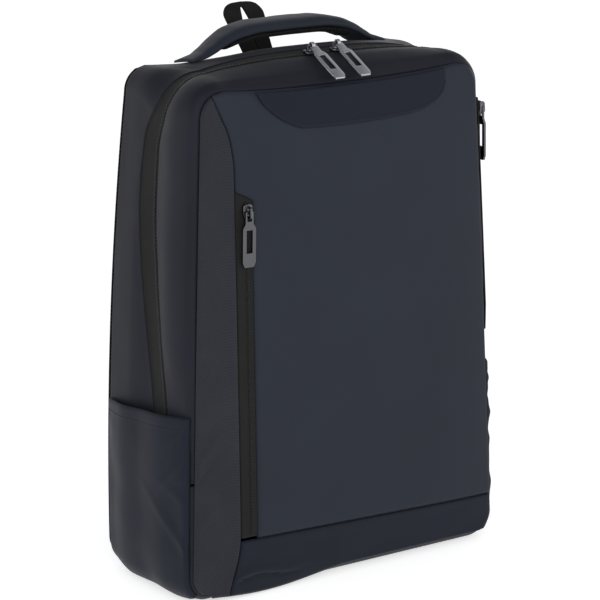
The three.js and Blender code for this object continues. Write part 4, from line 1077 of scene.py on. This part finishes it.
PAD_CORNERS = [
    (-0.84, 0.96), (0.84, 0.96), (0.88, 0.50), (0.52, 0.02),
    (0.0, -0.04), (-0.52, 0.02), (-0.88, 0.50),
]
section = round_section(PAD_CORNERS, 40)
out, x, y = handle_grid(section, HANDLE_PAD_HALF / HANDLE_HALF, 90)
taper = np.minimum(1, follow(HANDLE_CURVE, out)[:, None] * HANDLE_PAD_TAPER)
z = handle_bed(x, y) - SEAM_GAP - (1 - section[None, :, 1]) * HANDLE_PAD_THICK * taper
obj = tube("carry_handle_mesh", np.stack([x, y, z], -1), MESH)
keep(obj, ["carry_handle_pad"])

# CAD nodes that keep their shape get finer edges and their own material.


def rounded(node, material, body, width=0.35):
    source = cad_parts[node]
    mesh = source.data.copy()
    mesh.name = f"{node}_body"
    obj = bpy.data.objects.new(f"{node}_body", mesh)
    bpy.context.scene.collection.objects.link(obj)
    mesh.materials.clear()
    mesh.materials.append(material)
    weld = obj.modifiers.new("weld", "WELD")
    weld.merge_threshold = 1e-6
    bevel = obj.modifiers.new("bevel", "BEVEL")
    bevel.width = width * MM
    bevel.segments = 3
    bevel.limit_method = "ANGLE"
    bevel.angle_limit = 0.6
    bevel.harden_normals = True
    for polygon in mesh.polygons:
        polygon.use_smooth = True
    if not mesh.uv_layers:
        mesh.uv_layers.new(name="cut")
    mesh.uv_layers[0].name = "cut"
    co = np.zeros(len(mesh.vertices) * 3)
    mesh.vertices.foreach_get("co", co)
    co = co.reshape(-1, 3)
    index = np.zeros(len(mesh.loops), np.int32)
    mesh.loops.foreach_get("vertex_index", index)
    mesh.uv_layers[0].data.foreach_set("uv", co[index][:, [0, 2]].ravel())
    return keep(obj, [node], body)


for word in ("main_zip_slider_left", "main_zip_slider_right", "pocket_zip_slider", "side_zip_slider"):
    rounded(word, DARK_METAL, "bag")
rounded("main_zip_pull_left", PULL_METAL, "main_pull_left")
rounded("main_zip_pull_right", PULL_METAL, "main_pull_right")
rounded("pocket_zip_pull", DARK_METAL, "pocket_pull")
rounded("side_zip_pull", DARK_METAL, "side_pull")
for word in ("left", "right"):
    rounded(f"ladder_lock_{word}", PLASTIC, "bag", 0.9)
    rounded(f"lock_loop_{word}", WEBBING, "bag", 0.3)
    rounded(f"strap_webbing_{word}", WEBBING, "bag", 0.3)
    rounded(f"strap_anchor_{word}", SHELL, "bag", 0.8)

# Hang loop: one webbing folded over at the top, its legs side by side below the eye


def back_face(z):
    return depth_at(z) / 2 + SEAM_GAP + FOAM_BASE


# share of the strip, then the outer edge and the inner edge, as shares of the half width and of the length
LOOP_EDGES = np.array([
    [0.00, 0.70, 0.00, 0.02, 0.00],
    [0.17, 0.80, 0.36, 0.02, 0.38],
    [0.20, 0.82, 0.42, 0.30, 0.43],
    [0.30, 0.94, 0.62, 0.20, 0.68],
    [0.38, 1.00, 0.80, 0.10, 0.86],
    [0.44, 0.80, 0.94, 0.06, 0.915],
    [0.47, 0.45, 0.99, 0.04, 0.92],
    [0.50, 0.00, 1.00, 0.00, 0.92],
])
share = np.linspace(0, 1, 111)
fold = np.minimum(share, 1 - share)
way = np.where(share < 0.5, -1.0, 1.0)


def loop_edge(k):
    out = way * follow(LOOP_EDGES, fold, k) * LOOP_WIDTH / 2
    return np.stack([out, follow(LOOP_EDGES, fold, k + 1) * LOOP_LENGTH], -1)[:, None]


q = np.linspace(0, 1, 13)[None, :, None]
flat = lerp(loop_edge(1), loop_edge(3), q)
loop_up = np.array([0, math.sin(LOOP_LEAN), math.cos(LOOP_LEAN)])
loop_out = np.array([0, math.cos(LOOP_LEAN), -math.sin(LOOP_LEAN)])
loop_foot = np.array([0, back_face(REAR["crown"]) + SEAM_GAP + LOOP_THICK, REAR["crown"] - LOOP_SEAT])
points = loop_foot + flat[..., :1] * np.array([1.0, 0, 0]) + flat[..., 1:] * loop_up
normals = np.broadcast_to(loop_out, points.shape)
obj, _ = cloth("hang_loop_webbing", points, normals, LOOP_THICK, WEBBING, roll=(0, 0, 0.9, 0.9))
keep(obj, ["hang_loop"])

# Side zip on the right


def on_gusset(along, across):
    start = zip_front(along) + GAP_SHARE
    return puff(along, (across - start) / (1 - start))


side_list = even_arc(lambda t: skin(t, 0.5), along_at(SIDE_ZIP_TOP),
                     along_at(SIDE_ZIP_TOP - SIDE_ZIP_LENGTH), 2.2)
half_share = SIDE_ZIP_WIDTH / 2 / CROWN_DEPTH
along, across = np.meshgrid(side_list, SIDE_ZIP_ACROSS + half_share * np.linspace(-1, 1, 13), indexing="ij")
normals = skin_normal(along, across)
lift = on_gusset(along, across) + SIDE_TAPE_SEAT + SIDE_TAPE_WALL
points = skin(along, across) + normals * lift[..., None]
obj, side_face = cloth("side_zip_cloth", points, normals, SIDE_TAPE_WALL, TAPE, roll=(0, 0, 0.4, 0.4))
keep(obj, ["side_zip_tape"])
coil("side_zip_coil", side_face[:, 6] + normals[:, 6] * FINE_COIL_LIFT, normals[:, 6], *FINE_COIL)

# Shoulder straps: a padded cloth face, a mesh back and stitched edges


def strap_centre(side, down):
    z = STRAP_TOP - down * STRAP_LENGTH
    y = back_face(z) + FOAM_PAD + SEAM_GAP + STRAP_THICK / 2 + follow(STRAP_CURVE, down, 2) * STRAP_BOW
    x = side * (STRAP_SPACING / 2 + follow(STRAP_CURVE, down, 1) * STRAP_REACH)
    return np.stack([x, y, z], -1)


STRAP_SECTION = [
    (-1.00, 0.00), (-0.98, 0.50), (-0.90, 0.84), (-0.80, 0.78), (-0.55, 0.96), (0.0, 1.0),
    (0.55, 0.96), (0.80, 0.78), (0.90, 0.84), (0.98, 0.50), (1.00, 0.00), (0.98, -0.50),
    (0.88, -0.88), (0.5, -0.96), (0.0, -0.97), (-0.5, -0.96), (-0.88, -0.88), (-0.98, -0.50),
]


def strap_axes(side):
    down = np.linspace(0, 1, 121)
    centre = strap_centre(side, down)
    along = unit(np.gradient(centre, axis=0))
    end = centre[-1]
    tilt = math.atan2(side * ANCHOR_OUT - end[0], end[2] - ANCHOR_HEIGHT)
    first = smooth(down / STRAP_START)[:, None]
    last = smooth((down - STRAP_TURN) / STRAP_TURN_RUN)[:, None]
    along = unit(along * first + np.array([0, 0, -1.0]) * (1 - first))
    along = unit(along * (1 - last) + np.array([math.sin(tilt), 0, -math.cos(tilt)]) * last)
    wide = unit(np.cross(along, np.array([0, 1.0, 0])))
    out = unit(np.cross(wide, along))
    half = STRAP_WIDTH / 2 * follow(STRAP_CURVE, down, 3)
    return centre, wide * half[:, None], out


section = round_section(STRAP_SECTION, 72)
for word, side in (("left", -1), ("right", 1)):
    centre, wide, out = strap_axes(side)
    rings = centre[:, None] + wide[:, None] * section[None, :, :1]
    rings = rings + out[:, None] * section[None, :, 1:] * STRAP_THICK / 2
    puffed = 0.5 * noise(rings, 34, 81) + 0.25 * noise(rings, 15, 82)
    rings = rings + out[:, None] * (puffed * (section[None, :, 1] > 0.9))[..., None]
    obj = tube(f"shoulder_strap_pad_{word}", rings, SHELL)
    keep(obj, [f"shoulder_strap_{word}"])
    over = np.linspace(-STRAP_SEAM, STRAP_SEAM, 30)[None, :, None]
    points = centre[3:-4, None] + wide[3:-4, None] * over
    points = points - out[3:-4, None] * STRAP_THICK / 2 * STRAP_MESH_SEAT
    normals = -out[3:-4, None] + 0 * points
    obj, _ = cloth(f"shoulder_strap_mesh_{word}", points, normals, STRAP_MESH_WALL, MESH,
                   roll=(0.3, 0.3, 0.3, 0.3))
    keep(obj)
    for edge in (-1, 1):
        path = centre + wide * edge * STRAP_SEAM + out * STRAP_THICK / 2 * STRAP_STITCH_SEAT
        stitch_line(f"shoulder_strap_stitches_{word}_{'inner' if edge * side < 0 else 'outer'}", path, out)

# Yoke over the tops of the straps

YOKE_LOW = STRAP_TOP + SEAM_GAP
YOKE_HIGH = REAR["crown"] - LOOP_SEAT - SEAM_GAP - YOKE_TOP_GAP
YOKE_SECTION = [
    (0.00, 0.05), (0.00, 0.50), (0.00, 0.95), (0.40, 1.00), (0.80, 0.95),
    (0.98, 0.75), (1.02, 0.50), (0.98, 0.25), (0.80, 0.05), (0.40, 0.00),
]
section = round_section(YOKE_SECTION, 48)
x = np.linspace(-YOKE_HALF, YOKE_HALF, 120)[:, None] + 0 * section[None, :, 0]
ending = np.clip((np.abs(x) - YOKE_HALF + YOKE_END) / YOKE_END, 0, 1)
thin = 0.35 + 0.65 * np.sqrt(1 - ending ** 2)
z = lerp(YOKE_LOW, YOKE_HIGH, 0.5 + (section[None, :, 1] - 0.5) * (0.9 + 0.1 * thin))
y = back_face(z) + SEAM_GAP + section[None, :, 0] * YOKE_THICK * thin
rings = np.stack([x, y, z], -1)
rings[..., 1] += 0.4 * noise(rings, 18, 91) * (section[None, :, 0] > 0.7)
obj = tube("strap_yoke_pad", rings, SHELL)
keep(obj, ["strap_yoke"])

# Floor, light and camera

floor_mesh = bpy.data.meshes.new("floor")
FLOOR_SIGNS = ((-1, -1), (1, -1), (1, 1), (-1, 1))
floor_corners = [(x * FLOOR_REACH, y * FLOOR_REACH, FLOOR_DROP) for x, y in FLOOR_SIGNS]
floor_mesh.from_pydata(floor_corners, [], [(0, 1, 2, 3)])
floor = bpy.data.objects.new("floor", floor_mesh)
bpy.context.scene.collection.objects.link(floor)
material, shader = node_material("floor_paint", (0.80, 0.80, 0.80), 0.9, spec=0.05)
shader.inputs["Emission Color"].default_value = (1, 1, 1, 1)
shader.inputs["Emission Strength"].default_value = FLOOR_GLOW
floor_mesh.materials.append(material)

# White round the horizon, darker overhead
world = bpy.data.worlds.new("studio")
world.use_nodes = True
sky = Nodes(world)
background = world.node_tree.nodes["Background"]
height = sky.new("ShaderNodeSeparateXYZ")
sky.link(sky.new("ShaderNodeTexCoord").outputs["Generated"], height.inputs[0])
sky.link(sky.ramp(height.outputs[2], (1, 1, 1), (0.30, 0.31, 0.33), 0.20, 0.85), background.inputs["Color"])
background.inputs["Strength"].default_value = 1.0
bpy.context.scene.world = world
bpy.context.scene.view_settings.view_transform = "Standard"


def area_light(name, place, size, power):
    data = bpy.data.lights.new(name, "AREA")
    data.shape = "RECTANGLE"
    data.size, data.size_y = size
    data.energy = power
    light = bpy.data.objects.new(name, data)
    light.location = place
    light.rotation_euler = (Vector(LIGHT_AIM) - Vector(place)).to_track_quat("-Z", "Y").to_euler()
    bpy.context.scene.collection.objects.link(light)


for row in LIGHTS:
    area_light(*row)

azimuth, elevation = math.radians(CAMERA_AZIMUTH), math.radians(CAMERA_ELEVATION)
level = math.cos(elevation)
back = Vector((-math.sin(azimuth) * level, -math.cos(azimuth) * level, math.sin(elevation)))
target = Vector(CAMERA_TARGET) * MM
camera_data = bpy.data.cameras.new("camera")
camera = bpy.data.objects.new("camera", camera_data)
bpy.context.scene.collection.objects.link(camera)
camera.location = target + back * CAMERA_DISTANCE * MM
camera.rotation_euler = (-back).to_track_quat("-Z", "Y").to_euler()
camera_data.sensor_width = 36.0
camera_data.lens = 36.0 * CAMERA_FOCAL / PHOTO_SIZE
camera_data.shift_x = (PHOTO_SIZE / 2 - CAMERA_CENTRE[0]) / PHOTO_SIZE
camera_data.shift_y = (CAMERA_CENTRE[1] - PHOTO_SIZE / 2) / PHOTO_SIZE
camera_data.clip_end = 100.0
bpy.context.scene.camera = camera

bpy.context.view_layer.update()
